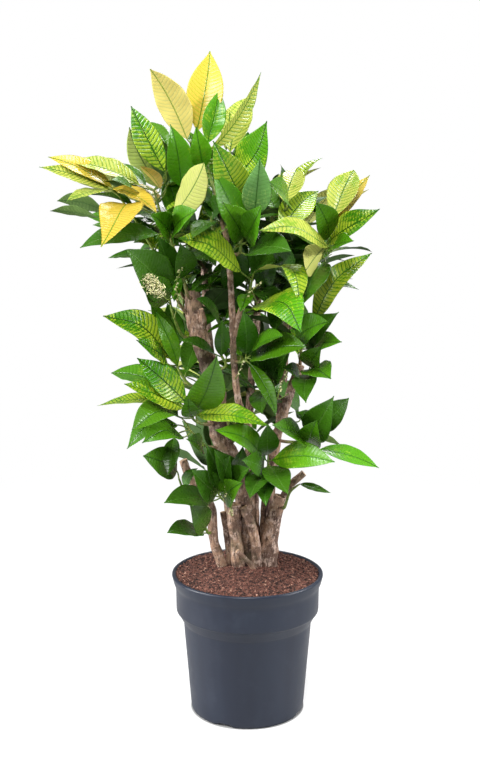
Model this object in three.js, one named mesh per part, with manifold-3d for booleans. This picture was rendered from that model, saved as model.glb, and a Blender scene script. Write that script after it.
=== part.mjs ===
// A croton house plant in its round nursery pot.
// Millimetres, +Z up, +X to the right of the front view, -Y towards the viewer.
// The origin is the centre of the pot's flat underside.

import * as THREE from 'three';
import { mergeVertices } from 'three/addons/utils/BufferGeometryUtils.js';
import Module from 'manifold-3d';

const wasm = await Module();
wasm.setup();

// ---------------------------------------------------------------------------------------------
// Driving dimensions, mm

const POT = {
  height: 225,
  lipRadius: 120,
  lipDepth: 20,
  collarRadius: 113.5,
  collarFoot: 164,
  stepFoot: 144,
  bodyTopRadius: 102,
  baseRadius: 90,
  wall: 2.2,
  floor: 3,
  sides: 32,
};
const DRAIN_NOTCH = { count: 4, width: 28, height: 6, depth: 12, bearing: -114 };
const DRAIN_HOLE = { count: 4, radius: 5, ringRadius: 45 };
const SOIL = { belowLip: 6.5, mound: 12, sides: 24 };
const CANE = { sides: 8, thinSides: 6, thinRadius: 6, stepLength: 42, buried: 60 };
const TWIG = {
  footRadius: 3.4,
  tipRadius: 2.2,
  sides: 4,
  steps: 4,
  stalksPerStep: 6,
  footSpacing: 14,
};
const LEAF = {
  keel: 1.7,
  stalkRadius: 1.4,
  stalkDrop: 9,
  arch: 0.07,
  slenderness: 2.25,
  stations: [
    { at: 0.3, width: 0.92 },
    { at: 0.7, width: 0.88 },
  ],
};
const CLEARANCE = 0.4;
const DETAIL = 0.08;
// The plant's own middle lies a little behind the pot's, and the shoots behind it mirror those
// in front.
const PLANT_MIDDLE_Y = 24;

// The front view that places are read from: squares across and down, seen from a standing height.
const FRONT_VIEW = {
  middle: [240, 381.5],
  focal: 1130.5,
  distance: 1726.2,
  height: 820.3,
  shift: -11.9,
  tilt: THREE.MathUtils.degToRad(9.51),
};

// ---------------------------------------------------------------------------------------------
// Canes: each point is [squares across, squares down, depth, radius]; depth and radius in mm,
// depth counted from the middle of the pot, away from the viewer.

const CANES = [
  {
    name: 'cane_main',
    route: [
      [250, 562, 26, 18], [246, 510, 12, 15.5], [240, 476, 2, 15], [219, 434, -4, 14.5],
      [216, 392, -5, 14.5], [205, 354, -5, 14], [195, 321, -5, 13.5], [193, 291, -5, 12],
    ],
    branches: [[[200, 332, -6, 7], [203, 322, -14, 6], [201, 309, -20, 4]]],
  },
  {
    name: 'cane_right_base',
    route: [[268, 566, 5, 16], [270, 537, 5, 13.5], [275, 514, 4, 12], [281, 496, 3, 10]],
    branches: [[[279, 506, 3, 7], [290, 486, 2, 6], [304, 473, 0, 5.3]]],
  },
  {
    name: 'cane_front',
    route: [[239, 570, -2, 11.5], [237, 550, -3, 10.5], [235, 530, -4, 10.5], [234, 504, -5, 12]],
    branches: [],
  },
  {
    name: 'cane_centre',
    route: [
      [255, 556, 44, 7], [255, 500, 34, 6.5], [250, 432, -14, 5.5], [239, 403, -20, 5.3],
      [235, 373, -21, 5.2], [233, 344, -21, 5], [232, 309, -20, 5], [230, 274, -18, 4.6],
      [226, 240, -16, 4],
    ],
    branches: [[[234, 336, -21, 4.4], [240, 313, -24, 4.2], [248, 295, -28, 3.6]]],
  },
  {
    name: 'cane_right',
    route: [
      [262, 550, 40, 8], [268, 500, 38, 7.6], [276, 440, 12, 7.4], [290, 393, -5, 7.2],
      [300, 365, -8, 7.4],
    ],
    branches: [],
  },
  {
    name: 'cane_mid',
    route: [[257, 566, -4, 8.6], [255, 542, -6, 7.6], [250, 522, -8, 7.8], [243, 507, -9, 7.2]],
    branches: [],
  },
  {
    name: 'cane_left',
    route: [
      [223, 569, 0, 8.5], [214, 540, -4, 7.6], [210, 505, -4, 7.6], [200, 491, -4, 7.4],
      [189, 475, -4, 7], [183, 460, -4, 6.6],
    ],
    branches: [],
  },
  {
    name: 'cane_slim',
    route: [[230, 567, 6, 5.2], [227, 537, 8, 5], [223, 512, 8, 4.8]],
    branches: [],
  },
  {
    name: 'cane_stub',
    route: [[254, 570, -18, 4.2], [246, 560, -22, 3.8], [237, 551, -26, 3.8]],
    branches: [],
  },
  {
    name: 'cane_upright',
    route: [[262, 552, 26, 5.2], [264, 505, 10, 4.8], [268, 476, -4, 4.4]],
    branches: [],
  },
  {
    name: 'cane_back_left',
    route: [
      [232, 558, 50, 8], [226, 480, 62, 7.4], [216, 400, 66, 7], [208, 330, 70, 6],
      [204, 268, 74, 5],
    ],
    branches: [],
  },
  {
    name: 'cane_back_mid',
    route: [
      [248, 552, 64, 7.4], [249, 480, 72, 7], [250, 400, 76, 6.6], [256, 330, 78, 6],
      [260, 262, 74, 5],
    ],
    branches: [],
  },
  {
    name: 'cane_back_right',
    route: [[266, 556, 62, 7.6], [272, 480, 70, 7], [282, 400, 68, 6.4], [287, 318, 56, 5.4]],
    branches: [],
  },
];

// ---------------------------------------------------------------------------------------------
// Shoots at the front: the twig's points run up from its cane, and each leaf has its tip, the foot
// of its blade, its width in mm, and its turn in degrees: 0 shows the upper face to the viewer,
// 90 turns it to the sky, or to the right on an upright leaf, and 180 shows the underside.

const FRONT_SHOOTS = [
  {
    name: 'shoot_crown',
    cane: 'cane_centre',
    twig: [[214, 190, -16], [203, 150, -16], [199, 134, -16]],
    leaves: [
      { tip: [210, 51, -8], foot: [197, 131, -16], width: 54, turn: 8, tone: 'yellow' },
      { tip: [150, 69, -52], foot: [187, 139, -28], width: 50, turn: 158, tone: 'yellow' },
      { tip: [219, 91, 14], foot: [205, 150, 0], width: 46, turn: -58, tone: 'green' },
      { tip: [261, 72, -4], foot: [209, 151, -18], width: 46, turn: 64, tone: 'yellow' },
      { tip: [230, 112, 34], foot: [226, 150, 22], width: 24, turn: 20, tone: 'yellow' },
      { tip: [247, 98, 30], foot: [234, 160, 14], width: 44, turn: 30, tone: 'lime' },
      { tip: [192, 128, -44], foot: [203, 169, -26], width: 30, turn: 35, tone: 'green' },
      { tip: [169, 125, -40], foot: [181, 187, -24], width: 40, turn: 30, tone: 'green' },
      { tip: [267, 121, -60], foot: [224, 177, -26], width: 54, turn: 48, tone: 'mottled' },
    ],
  },
  {
    name: 'shoot_centre_top',
    cane: 'cane_centre',
    twig: [[240, 252, -62], [240, 228, -66], [240, 210, -66]],
    leaves: [
      { tip: [213, 141, -76], foot: [243, 206, -68], width: 52, turn: 6, tone: 'lime' },
      { tip: [260, 158, -84], foot: [255, 216, -72], width: 46, turn: 28, tone: 'green' },
      { tip: [262, 204, -128], foot: [247, 241, -76], width: 44, turn: 30, tone: 'green' },
      { tip: [293, 239, -110], foot: [247, 252, -72], width: 50, turn: 60, tone: 'green' },
    ],
  },
  {
    name: 'shoot_centre_left',
    cane: 'cane_centre',
    twig: [[220, 244, -40], [212, 226, -56], [211, 216, -58]],
    leaves: [
      { tip: [222, 178, -70], foot: [212, 218, -58], width: 40, turn: 50, tone: 'green' },
      { tip: [247, 208, -112], foot: [216, 219, -60], width: 46, turn: 66, tone: 'green' },
    ],
  },
  {
    name: 'shoot_inner_left',
    cane: 'cane_main',
    twig: [[188, 296, -30], [180, 264, -44], [171, 240, -58], [169, 226, -58]],
    leaves: [
      { tip: [204, 163, -82], foot: [171, 219, -62], width: 52, turn: 150, tone: 'lime' },
      { tip: [197, 210, -104], foot: [173, 233, -62], width: 44, turn: 30, tone: 'green' },
      { tip: [150, 214, -100], foot: [170, 236, -60], width: 40, turn: 150, tone: 'green' },
      { tip: [80, 248, -95], foot: [158, 234, -66], width: 46, turn: 40, tone: 'dark' },
      { tip: [133, 212, -20], foot: [160, 224, -46], width: 34, turn: 60, tone: 'dark' },
      { tip: [102, 247, -100], foot: [131, 207, -60], width: 50, turn: 24, tone: 'yellow' },
    ],
  },
  {
    name: 'shoot_left_high',
    cane: 'cane_main',
    twig: [[184, 282, -2], [173, 250, -4], [161, 215, -10], [154, 190, -14]],
    leaves: [
      { tip: [131, 106, -20], foot: [165, 172, -14], width: 44, turn: 50, tone: 'mottled' },
      { tip: [141, 121, 10], foot: [168, 145, 4], width: 34, turn: 80, tone: 'green' },
      { tip: [149, 131, 34], foot: [166, 168, 8], width: 36, turn: 30, tone: 'dark' },
      { tip: [98, 165, 6], foot: [146, 186, -12], width: 40, turn: 60, tone: 'green' },
      { tip: [110, 179, -60], foot: [136, 193, -24], width: 34, turn: 60, tone: 'green' },
      { tip: [65, 161, -24], foot: [140, 186, -18], width: 46, turn: 58, tone: 'lime' },
      { tip: [140, 166, -40], foot: [160, 189, -22], width: 26, turn: 120, tone: 'yellow' },
    ],
  },
  {
    name: 'shoot_left_far',
    cane: 'cane_main',
    twig: [[182, 308, -14], [160, 262, -20], [134, 218, -28], [119, 196, -30]],
    leaves: [
      { tip: [48, 157, -30], foot: [112, 188, -30], width: 42, turn: 68, tone: 'yellow' },
      { tip: [39, 167, -50], foot: [110, 190, -34], width: 44, turn: 60, tone: 'lime' },
      { tip: [67, 201, -84], foot: [112, 191, -38], width: 36, turn: 74, tone: 'lime' },
      { tip: [86, 195, -4], foot: [132, 206, -24], width: 36, turn: 70, tone: 'dark' },
      { tip: [57, 201, 20], foot: [105, 212, -16], width: 38, turn: 120, tone: 'green' },
      { tip: [50, 211, -10], foot: [100, 219, -22], width: 30, turn: 110, tone: 'green' },
      { tip: [155, 214, -80], foot: [114, 189, -34], width: 36, turn: 72, tone: 'yellow' },
    ],
  },
  {
    name: 'shoot_left_low',
    cane: 'cane_main',
    twig: [[184, 337, -14], [173, 314, -24], [168, 288, -32]],
    leaves: [
      { tip: [126, 256, -80], foot: [166, 290, -38], width: 56, turn: 40, tone: 'dark' },
      { tip: [141, 273, -90], foot: [168, 302, -36], width: 46, turn: 10, tone: 'cream' },
      { tip: [158, 236, -40], foot: [172, 284, -34], width: 42, turn: 40, tone: 'dark' },
      { tip: [180, 243, -76], foot: [186, 276, -34], width: 38, turn: 150, tone: 'green' },
      { tip: [174, 302, -60], foot: [180, 278, -36], width: 20, turn: 30, tone: 'green' },
      { tip: [108, 258, 6], foot: [150, 262, -20], width: 34, turn: 60, tone: 'dark' },
    ],
  },
  {
    name: 'shoot_trunk',
    cane: 'cane_main',
    twig: [[226, 366, -30], [222, 356, -34]],
    leaves: [
      { tip: [178, 340, -62], foot: [215, 354, -34], width: 34, turn: 60, tone: 'dark' },
      { tip: [196, 299, -66], foot: [220, 326, -36], width: 36, turn: 40, tone: 'dark' },
      { tip: [222, 320, -52], foot: [221, 356, -36], width: 24, turn: 10, tone: 'dark' },
    ],
  },
  {
    name: 'shoot_left_mid',
    cane: 'cane_main',
    twig: [[192, 386, -20], [182, 376, -22], [176, 364, -22]],
    leaves: [
      { tip: [103, 317, -40], foot: [171, 359, -24], width: 52, turn: 34, tone: 'mottled' },
      { tip: [149, 299, -6], foot: [169, 356, -14], width: 42, turn: 40, tone: 'green' },
      { tip: [167, 303, 26], foot: [172, 352, 2], width: 38, turn: 20, tone: 'dark' },
      { tip: [163, 318, -50], foot: [178, 370, -26], width: 34, turn: 40, tone: 'mottled' },
      { tip: [139, 340, -78], foot: [168, 366, -28], width: 40, turn: 130, tone: 'green' },
    ],
  },
  {
    name: 'shoot_left_waist',
    cane: 'cane_main',
    twig: [[203, 424, -36], [193, 419, -46], [190, 409, -50]],
    leaves: [
      { tip: [137, 358, -66], foot: [186, 403, -50], width: 48, turn: 24, tone: 'green' },
      { tip: [124, 384, -90], foot: [183, 408, -54], width: 46, turn: 44, tone: 'lime' },
      { tip: [97, 406, -60], foot: [170, 401, -48], width: 42, turn: 66, tone: 'lime' },
      { tip: [111, 373, -24], foot: [164, 388, -36], width: 44, turn: 50, tone: 'green' },
      { tip: [217, 355, -84], foot: [195, 410, -56], width: 56, turn: -24, tone: 'green' },
      { tip: [190, 398, -90], foot: [192, 417, -56], width: 28, turn: 10, tone: 'lime' },
      { tip: [148, 402, -30], foot: [178, 416, -42], width: 36, turn: 56, tone: 'dark' },
      { tip: [272, 426, -104], foot: [197, 415, -58], width: 52, turn: 46, tone: 'lime' },
    ],
  },
  {
    name: 'shoot_left_hip',
    cane: 'cane_main',
    twig: [[206, 446, -26], [196, 436, -36], [190, 430, -38]],
    leaves: [
      { tip: [132, 429, -44], foot: [182, 419, -40], width: 52, turn: 132, tone: 'green' },
      { tip: [127, 449, -84], foot: [178, 425, -44], width: 42, turn: 122, tone: 'green' },
      { tip: [142, 442, -104], foot: [183, 436, -46], width: 46, turn: 128, tone: 'green' },
      { tip: [168, 475, -74], foot: [174, 438, -48], width: 28, turn: 20, tone: 'dark' },
      { tip: [186, 439, -86], foot: [202, 448, -44], width: 32, turn: 50, tone: 'green' },
    ],
  },
  {
    name: 'shoot_left_knee',
    cane: 'cane_left',
    twig: [[184, 489, -18], [179, 479, -22]],
    leaves: [
      { tip: [143, 456, -64], foot: [177, 471, -24], width: 48, turn: 32, tone: 'green' },
      { tip: [198, 468, -64], foot: [184, 486, -26], width: 20, turn: 30, tone: 'dark' },
    ],
  },
  {
    name: 'shoot_left_foot',
    cane: 'cane_left',
    twig: [[208, 533, -20], [206, 528, -24]],
    leaves: [
      { tip: [189, 503, -40], foot: [205, 530, -26], width: 44, turn: 40, tone: 'dark' },
      { tip: [167, 533, -46], foot: [203, 533, -26], width: 38, turn: 60, tone: 'dark' },
    ],
  },
  {
    name: 'shoot_low_centre',
    cane: 'cane_front',
    twig: [[228, 503, -24], [222, 499, -32], [218, 493, -36]],
    leaves: [
      { tip: [164, 503, -76], foot: [211, 501, -40], width: 44, turn: 48, tone: 'dark' },
      { tip: [192, 470, -70], foot: [216, 496, -40], width: 46, turn: 30, tone: 'dark' },
      { tip: [243, 483, -90], foot: [225, 501, -42], width: 42, turn: 30, tone: 'green' },
      { tip: [206, 444, -58], foot: [220, 486, -38], width: 48, turn: 40, tone: 'dark' },
      { tip: [230, 456, -74], foot: [223, 488, -42], width: 38, turn: 30, tone: 'dark' },
    ],
  },
  {
    name: 'shoot_centre_low',
    cane: 'cane_upright',
    twig: [[268, 470, -30], [268, 462, -46]],
    leaves: [
      { tip: [215, 430, -104], foot: [264, 459, -54], width: 44, turn: 44, tone: 'green' },
      { tip: [337, 460, -96], foot: [273, 459, -54], width: 54, turn: 38, tone: 'mottled' },
      { tip: [288, 494, -96], foot: [270, 466, -52], width: 42, turn: 30, tone: 'dark' },
      { tip: [242, 460, -112], foot: [264, 470, -54], width: 40, turn: 34, tone: 'dark' },
      { tip: [268, 424, -50], foot: [268, 455, -46], width: 34, turn: 20, tone: 'dark' },
    ],
  },
  {
    name: 'shoot_right_low',
    cane: 'cane_right',
    twig: [[290, 442, -20], [300, 441, -30], [308, 434, -34]],
    leaves: [
      { tip: [272, 425, -92], foot: [304, 440, -38], width: 48, turn: 56, tone: 'green' },
      { tip: [317, 420, -70], foot: [310, 445, -38], width: 40, turn: 20, tone: 'green' },
      { tip: [334, 396, -10], foot: [312, 438, -28], width: 52, turn: 20, tone: 'dark' },
      { tip: [349, 398, 20], foot: [322, 430, -12], width: 42, turn: 40, tone: 'green' },
      { tip: [379, 468, -30], foot: [318, 450, -30], width: 38, turn: 66, tone: 'dark' },
      { tip: [296, 412, -30], foot: [306, 430, -16], width: 36, turn: 60, tone: 'dark' },
    ],
  },
  {
    name: 'shoot_right_foot',
    cane: 'cane_right_base',
    twig: [[284, 508, -14], [290, 492, -18], [298, 485, -20]],
    leaves: [
      { tip: [331, 493, -30], foot: [300, 484, -22], width: 14, turn: 40, tone: 'dark' },
    ],
  },
  {
    name: 'shoot_right_fork',
    cane: 'cane_right',
    twig: [[301, 385, -18], [308, 374, -26]],
    leaves: [
      { tip: [331, 379, -70], foot: [308, 370, -30], width: 46, turn: 40, tone: 'green' },
      { tip: [306, 403, -60], foot: [308, 374, -30], width: 38, turn: 20, tone: 'dark' },
      { tip: [322, 346, -66], foot: [310, 367, -30], width: 38, turn: 20, tone: 'green' },
      { tip: [283, 368, -60], foot: [300, 376, -26], width: 26, turn: 40, tone: 'green' },
    ],
  },
  {
    name: 'shoot_right_mid',
    cane: 'cane_right',
    twig: [[301, 352, -14], [302, 340, -24], [306, 326, -26]],
    leaves: [
      { tip: [329, 322, -90], foot: [296, 343, -32], width: 50, turn: 36, tone: 'green' },
      { tip: [339, 312, -16], foot: [304, 344, -24], width: 46, turn: 30, tone: 'dark' },
      { tip: [342, 342, -80], foot: [310, 348, -28], width: 42, turn: 50, tone: 'green' },
      { tip: [372, 253, -24], foot: [312, 319, -26], width: 44, turn: 30, tone: 'lime' },
      { tip: [300, 300, -70], foot: [301, 333, -32], width: 26, turn: 55, tone: 'green' },
    ],
  },
  {
    name: 'shoot_right_far',
    cane: 'cane_back_right',
    twig: [[300, 290, 30], [318, 262, -6], [327, 248, -26]],
    leaves: [
      { tip: [258, 230, -100], foot: [328, 245, -38], width: 42, turn: 68, tone: 'yellow' },
      { tip: [380, 209, -44], foot: [328, 244, -30], width: 48, turn: 44, tone: 'mottled' },
      { tip: [354, 170, 4], foot: [333, 217, -14], width: 42, turn: 140, tone: 'lime' },
      { tip: [370, 175, 34], foot: [336, 220, 2], width: 42, turn: 112, tone: 'yellow' },
      { tip: [316, 203, -70], foot: [328, 239, -34], width: 42, turn: 20, tone: 'green' },
      { tip: [306, 270, -104], foot: [325, 247, -40], width: 42, turn: 140, tone: 'lime' },
      { tip: [354, 241, -90], foot: [329, 251, -36], width: 42, turn: 50, tone: 'green' },
      { tip: [372, 252, 14], foot: [332, 252, -20], width: 32, turn: 82, tone: 'dark' },
      { tip: [302, 306, -70], foot: [325, 262, -32], width: 50, turn: 30, tone: 'dark' },
    ],
  },
  {
    name: 'shoot_right_high',
    cane: 'cane_back_mid',
    twig: [[272, 240, -2], [282, 220, -34], [286, 206, -40]],
    leaves: [
      { tip: [319, 191, -72], foot: [282, 229, -46], width: 54, turn: 20, tone: 'lime' },
      { tip: [298, 167, -30], foot: [285, 200, -40], width: 42, turn: 30, tone: 'lime' },
      { tip: [269, 182, -80], foot: [288, 208, -48], width: 44, turn: 50, tone: 'green' },
      { tip: [323, 158, 20], foot: [297, 184, -20], width: 32, turn: 60, tone: 'lime' },
      { tip: [280, 164, 6], foot: [284, 200, -30], width: 32, turn: 50, tone: 'dark' },
      { tip: [330, 196, 20], foot: [304, 214, -22], width: 38, turn: 60, tone: 'dark' },
    ],
  },
  {
    name: 'shoot_centre_front',
    cane: 'cane_centre',
    twig: [[250, 290, -40], [252, 280, -48]],
    leaves: [
      { tip: [178, 238, -124], foot: [241, 272, -66], width: 52, turn: 38, tone: 'mottled' },
      { tip: [300, 330, -96], foot: [254, 304, -50], width: 60, turn: 48, tone: 'mottled' },
      { tip: [300, 302, -112], foot: [257, 269, -60], width: 48, turn: 50, tone: 'lime' },
      { tip: [240, 312, -70], foot: [247, 294, -46], width: 24, turn: 20, tone: 'green' },
    ],
  },
  {
    name: 'shoot_centre_mid',
    cane: 'cane_centre',
    twig: [[242, 362, -36], [247, 358, -42]],
    leaves: [
      { tip: [306, 347, -92], foot: [251, 359, -46], width: 54, turn: 50, tone: 'green' },
      { tip: [276, 416, -90], foot: [250, 364, -48], width: 24, turn: 20, tone: 'green' },
      { tip: [283, 336, -84], foot: [251, 355, -48], width: 42, turn: 62, tone: 'green' },
      { tip: [243, 310, -44], foot: [246, 354, -42], width: 36, turn: 20, tone: 'dark' },
    ],
  },
];

// Shoots inside the crown, between the canes, where the foliage is deepest.
const INNER_SHOOTS = [
  {
    name: 'shoot_inner_crown',
    cane: 'cane_centre',
    twig: [[226, 226, 4], [222, 206, 16], [220, 188, 22]],
    leaves: [
      { tip: [184, 128, 50], foot: [214, 190, 24], width: 46, turn: 40, tone: 'green' },
      { tip: [248, 132, 54], foot: [224, 186, 26], width: 46, turn: 40, tone: 'green' },
      { tip: [234, 180, -34], foot: [224, 224, 6], width: 42, turn: 50, tone: 'dark' },
      { tip: [194, 188, -6], foot: [220, 222, 8], width: 44, turn: 60, tone: 'dark' },
      { tip: [268, 182, 44], foot: [228, 206, 22], width: 46, turn: 60, tone: 'dark' },
      { tip: [172, 196, 50], foot: [214, 212, 20], width: 44, turn: 60, tone: 'dark' },
    ],
  },
  {
    name: 'shoot_inner_west',
    cane: 'cane_back_left',
    twig: [[196, 256, 50], [186, 240, 34], [180, 226, 28]],
    leaves: [
      { tip: [146, 194, 40], foot: [178, 228, 26], width: 46, turn: 50, tone: 'dark' },
      { tip: [138, 252, 34], foot: [180, 246, 30], width: 48, turn: 50, tone: 'dark' },
      { tip: [208, 190, 10], foot: [184, 228, 24], width: 44, turn: 40, tone: 'dark' },
      { tip: [216, 266, -6], foot: [190, 250, 30], width: 46, turn: 40, tone: 'dark' },
      { tip: [158, 292, 40], foot: [190, 258, 42], width: 48, turn: 30, tone: 'dark' },
      { tip: [168, 172, 70], foot: [180, 226, 32], width: 42, turn: 20, tone: 'green' },
    ],
  },
  {
    name: 'shoot_inner_middle',
    cane: 'cane_back_mid',
    twig: [[256, 302, 54], [249, 284, 34], [246, 268, 26]],
    leaves: [
      { tip: [208, 246, 44], foot: [242, 274, 30], width: 48, turn: 50, tone: 'dark' },
      { tip: [222, 322, 60], foot: [246, 292, 42], width: 44, turn: 40, tone: 'dark' },
      { tip: [284, 260, -8], foot: [251, 274, 26], width: 48, turn: 50, tone: 'dark' },
      { tip: [280, 312, 6], foot: [254, 288, 36], width: 48, turn: 40, tone: 'dark' },
      { tip: [236, 224, 34], foot: [245, 268, 28], width: 46, turn: 30, tone: 'dark' },
      { tip: [262, 226, 60], foot: [249, 266, 30], width: 46, turn: 30, tone: 'dark' },
    ],
  },
  {
    name: 'shoot_inner_east',
    cane: 'cane_back_right',
    twig: [[292, 302, 32], [297, 286, 18], [298, 271, 12]],
    leaves: [
      { tip: [270, 246, 10], foot: [293, 280, 16], width: 48, turn: 40, tone: 'dark' },
      { tip: [326, 256, 30], foot: [299, 284, 18], width: 48, turn: 40, tone: 'dark' },
      { tip: [274, 332, 2], foot: [291, 300, 22], width: 42, turn: 36, tone: 'dark' },
      { tip: [308, 226, 40], foot: [298, 272, 18], width: 48, turn: 30, tone: 'dark' },
      { tip: [260, 294, 54], foot: [290, 292, 32], width: 44, turn: 50, tone: 'dark' },
    ],
  },
  {
    name: 'shoot_inner_waist',
    cane: 'cane_back_mid',
    twig: [[258, 404, 54], [265, 390, 34], [268, 376, 28]],
    leaves: [
      { tip: [244, 348, 16], foot: [263, 384, 30], width: 46, turn: 40, tone: 'dark' },
      { tip: [292, 346, 20], foot: [271, 382, 28], width: 46, turn: 40, tone: 'dark' },
      { tip: [262, 414, 0], foot: [264, 390, 32], width: 40, turn: 30, tone: 'dark' },
      { tip: [300, 406, 52], foot: [274, 388, 36], width: 46, turn: 40, tone: 'dark' },
      { tip: [272, 336, 50], foot: [268, 376, 30], width: 46, turn: 30, tone: 'dark' },
    ],
  },
];

// Shoots behind: each mirrors a front shoot through the plant's middle, swung round the upright
// and dropped a little, and grows from a cane of its own side.
const BACK_SHOOTS = [
  { name: 'shoot_back_crown', of: 'shoot_centre_top', cane: 'cane_back_mid', swing: 12, drop: -18 },
  { name: 'shoot_back_centre', of: 'shoot_inner_left', cane: 'cane_back_left', swing: -30, drop: 6 },
  { name: 'shoot_back_left_high', of: 'shoot_left_high', cane: 'cane_back_left', swing: 14, drop: 24 },
  { name: 'shoot_back_left_far', of: 'shoot_left_far', cane: 'cane_back_left', swing: -24, drop: 26 },
  { name: 'shoot_back_left_low', of: 'shoot_left_low', cane: 'cane_back_left', swing: -12, drop: 20 },
  { name: 'shoot_back_left_mid', of: 'shoot_left_mid', cane: 'cane_back_left', swing: -26, drop: 14 },
  { name: 'shoot_back_waist', of: 'shoot_left_waist', cane: 'cane_back_left', swing: -20, drop: 10 },
  { name: 'shoot_back_hip', of: 'shoot_left_hip', cane: 'cane_back_left', swing: -38, drop: -2 },
  { name: 'shoot_back_low', of: 'shoot_low_centre', cane: 'cane_back_left', swing: 30, drop: -20 },
  { name: 'shoot_back_centre_low', of: 'shoot_centre_low', cane: 'cane_back_mid', swing: 24, drop: -26 },
  { name: 'shoot_back_right_low', of: 'shoot_right_low', cane: 'cane_back_right', swing: 24, drop: 8 },
  { name: 'shoot_back_right_mid', of: 'shoot_right_mid', cane: 'cane_back_right', swing: 26, drop: 12 },
  { name: 'shoot_back_right_far', of: 'shoot_right_far', cane: 'cane_back_right', swing: 26, drop: 22 },
  { name: 'shoot_back_right_high', of: 'shoot_right_high', cane: 'cane_back_mid', swing: 10, drop: 14 },
  { name: 'shoot_back_front', of: 'shoot_centre_front', cane: 'cane_back_mid', swing: 4, drop: 10 },
  { name: 'shoot_back_mid', of: 'shoot_centre_mid', cane: 'cane_back_mid', swing: -10, drop: 16 },
];

// ---------------------------------------------------------------------------------------------
// Finishes

const finish = (color, roughness) => new THREE.MeshStandardMaterial({ color, roughness, metalness: 0 });
const FINISHES = {
  pot: finish('#454a54', 0.42),
  soil: finish('#5b3a32', 0.95),
  bark: finish('#7a6250', 0.85),
  yellow: finish('#d9cf4e', 0.4),
  green: finish('#5f9a2a', 0.38),
};

// ---------------------------------------------------------------------------------------------
// Places, curves and solids

/** A place on the front view, [squares across, squares down, depth], as a point in mm. */
function place([across, down, depth]) {
  const right = (across - FRONT_VIEW.middle[0]) / FRONT_VIEW.focal;
  const up = (FRONT_VIEW.middle[1] - down) / FRONT_VIEW.focal;
  const cos = Math.cos(FRONT_VIEW.tilt);
  const sin = Math.sin(FRONT_VIEW.tilt);
  const reach = (depth + FRONT_VIEW.distance) / (cos + up * sin);
  return new THREE.Vector3(
    FRONT_VIEW.shift + reach * right,
    depth,
    FRONT_VIEW.height + reach * (up * cos - sin),
  );
}

/** A closed three.js geometry as a solid, turned right side out. */
function solidFrom(geometry) {
  const bare = geometry.clone();
  bare.deleteAttribute('normal');
  bare.deleteAttribute('uv');
  const merged = mergeVertices(bare, 1e-4);
  const build = (triVerts) => new wasm.Manifold(
    new wasm.Mesh({ numProp: 3, vertProperties: merged.attributes.position.array, triVerts }),
  );
  const triVerts = new Uint32Array(merged.index.array);
  const solid = build(triVerts);
  if (solid.volume() > 0) return solid;
  return build(triVerts.reverse());
}

/** A solid's largest body as a three.js geometry, without slivers finer than the detail. */
function geometryFrom(solid) {
  const { vertProperties, triVerts } = largestBody(solid.simplify(DETAIL)).getMesh();
  const geometry = new THREE.BufferGeometry();
  geometry.setAttribute('position', new THREE.BufferAttribute(vertProperties, 3));
  geometry.setIndex(new THREE.BufferAttribute(triVerts, 1));
  return geometry;
}

/** A closed solid through rings of equally many points; a last ring of one point is a tip. */
function loft(rings) {
  const points = rings.flat();
  const index = [];
  const count = rings[0].length;
  rings.slice(1).forEach((ring, step) => {
    const low = step * count;
    for (let i = 0; i < count; i += 1) {
      const next = (i + 1) % count;
      if (ring.length === 1) {
        index.push(low + i, low + next, low + count);
      } else {
        index.push(low + i, low + next, low + count + next);
        index.push(low + i, low + count + next, low + count + i);
      }
    }
  });
  const last = rings[rings.length - 1];
  for (let i = 1; i < count - 1; i += 1) {
    index.push(0, i + 1, i);
    if (last.length > 1) {
      const top = points.length - count;
      index.push(top, top + i, top + i + 1);
    }
  }
  const geometry = new THREE.BufferGeometry().setFromPoints(points);
  geometry.setIndex(index);
  return solidFrom(geometry);
}

/** A round rod along a smooth curve, with a radius that follows the list of radii. */
function rod(points, radii, sides, steps, grow) {
  const curve = new THREE.CatmullRomCurve3(points);
  const frames = curve.computeFrenetFrames(steps);
  const rings = frames.tangents.map((_, step) => {
    const along = step / steps;
    const span = along * (radii.length - 1);
    const low = Math.min(Math.floor(span), radii.length - 2);
    const radius = THREE.MathUtils.lerp(radii[low], radii[low + 1], span - low) + grow;
    const centre = curve.getPoint(along);
    return Array.from({ length: sides }, (_unused, side) => {
      const angle = (2 * Math.PI * side) / sides;
      return centre.clone()
        .addScaledVector(frames.normals[step], radius * Math.cos(angle))
        .addScaledVector(frames.binormals[step], radius * Math.sin(angle));
    });
  });
  return loft(rings);
}

// ---------------------------------------------------------------------------------------------
// Pot and soil

/** The pot's inner radius at a height. */
function innerRadius(height) {
  const outer = height > POT.collarFoot
    ? POT.collarRadius
    : THREE.MathUtils.mapLinear(height, 0, POT.stepFoot, POT.baseRadius, POT.bodyTopRadius);
  return outer - POT.wall;
}

/** A solid of revolution about the upright axis, from [radius, height] pairs. */
function turned(profile, sides) {
  const outline = profile.map(([radius, height]) => new THREE.Vector2(radius, height));
  return solidFrom(new THREE.LatheGeometry(outline, sides).rotateX(Math.PI / 2));
}

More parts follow.
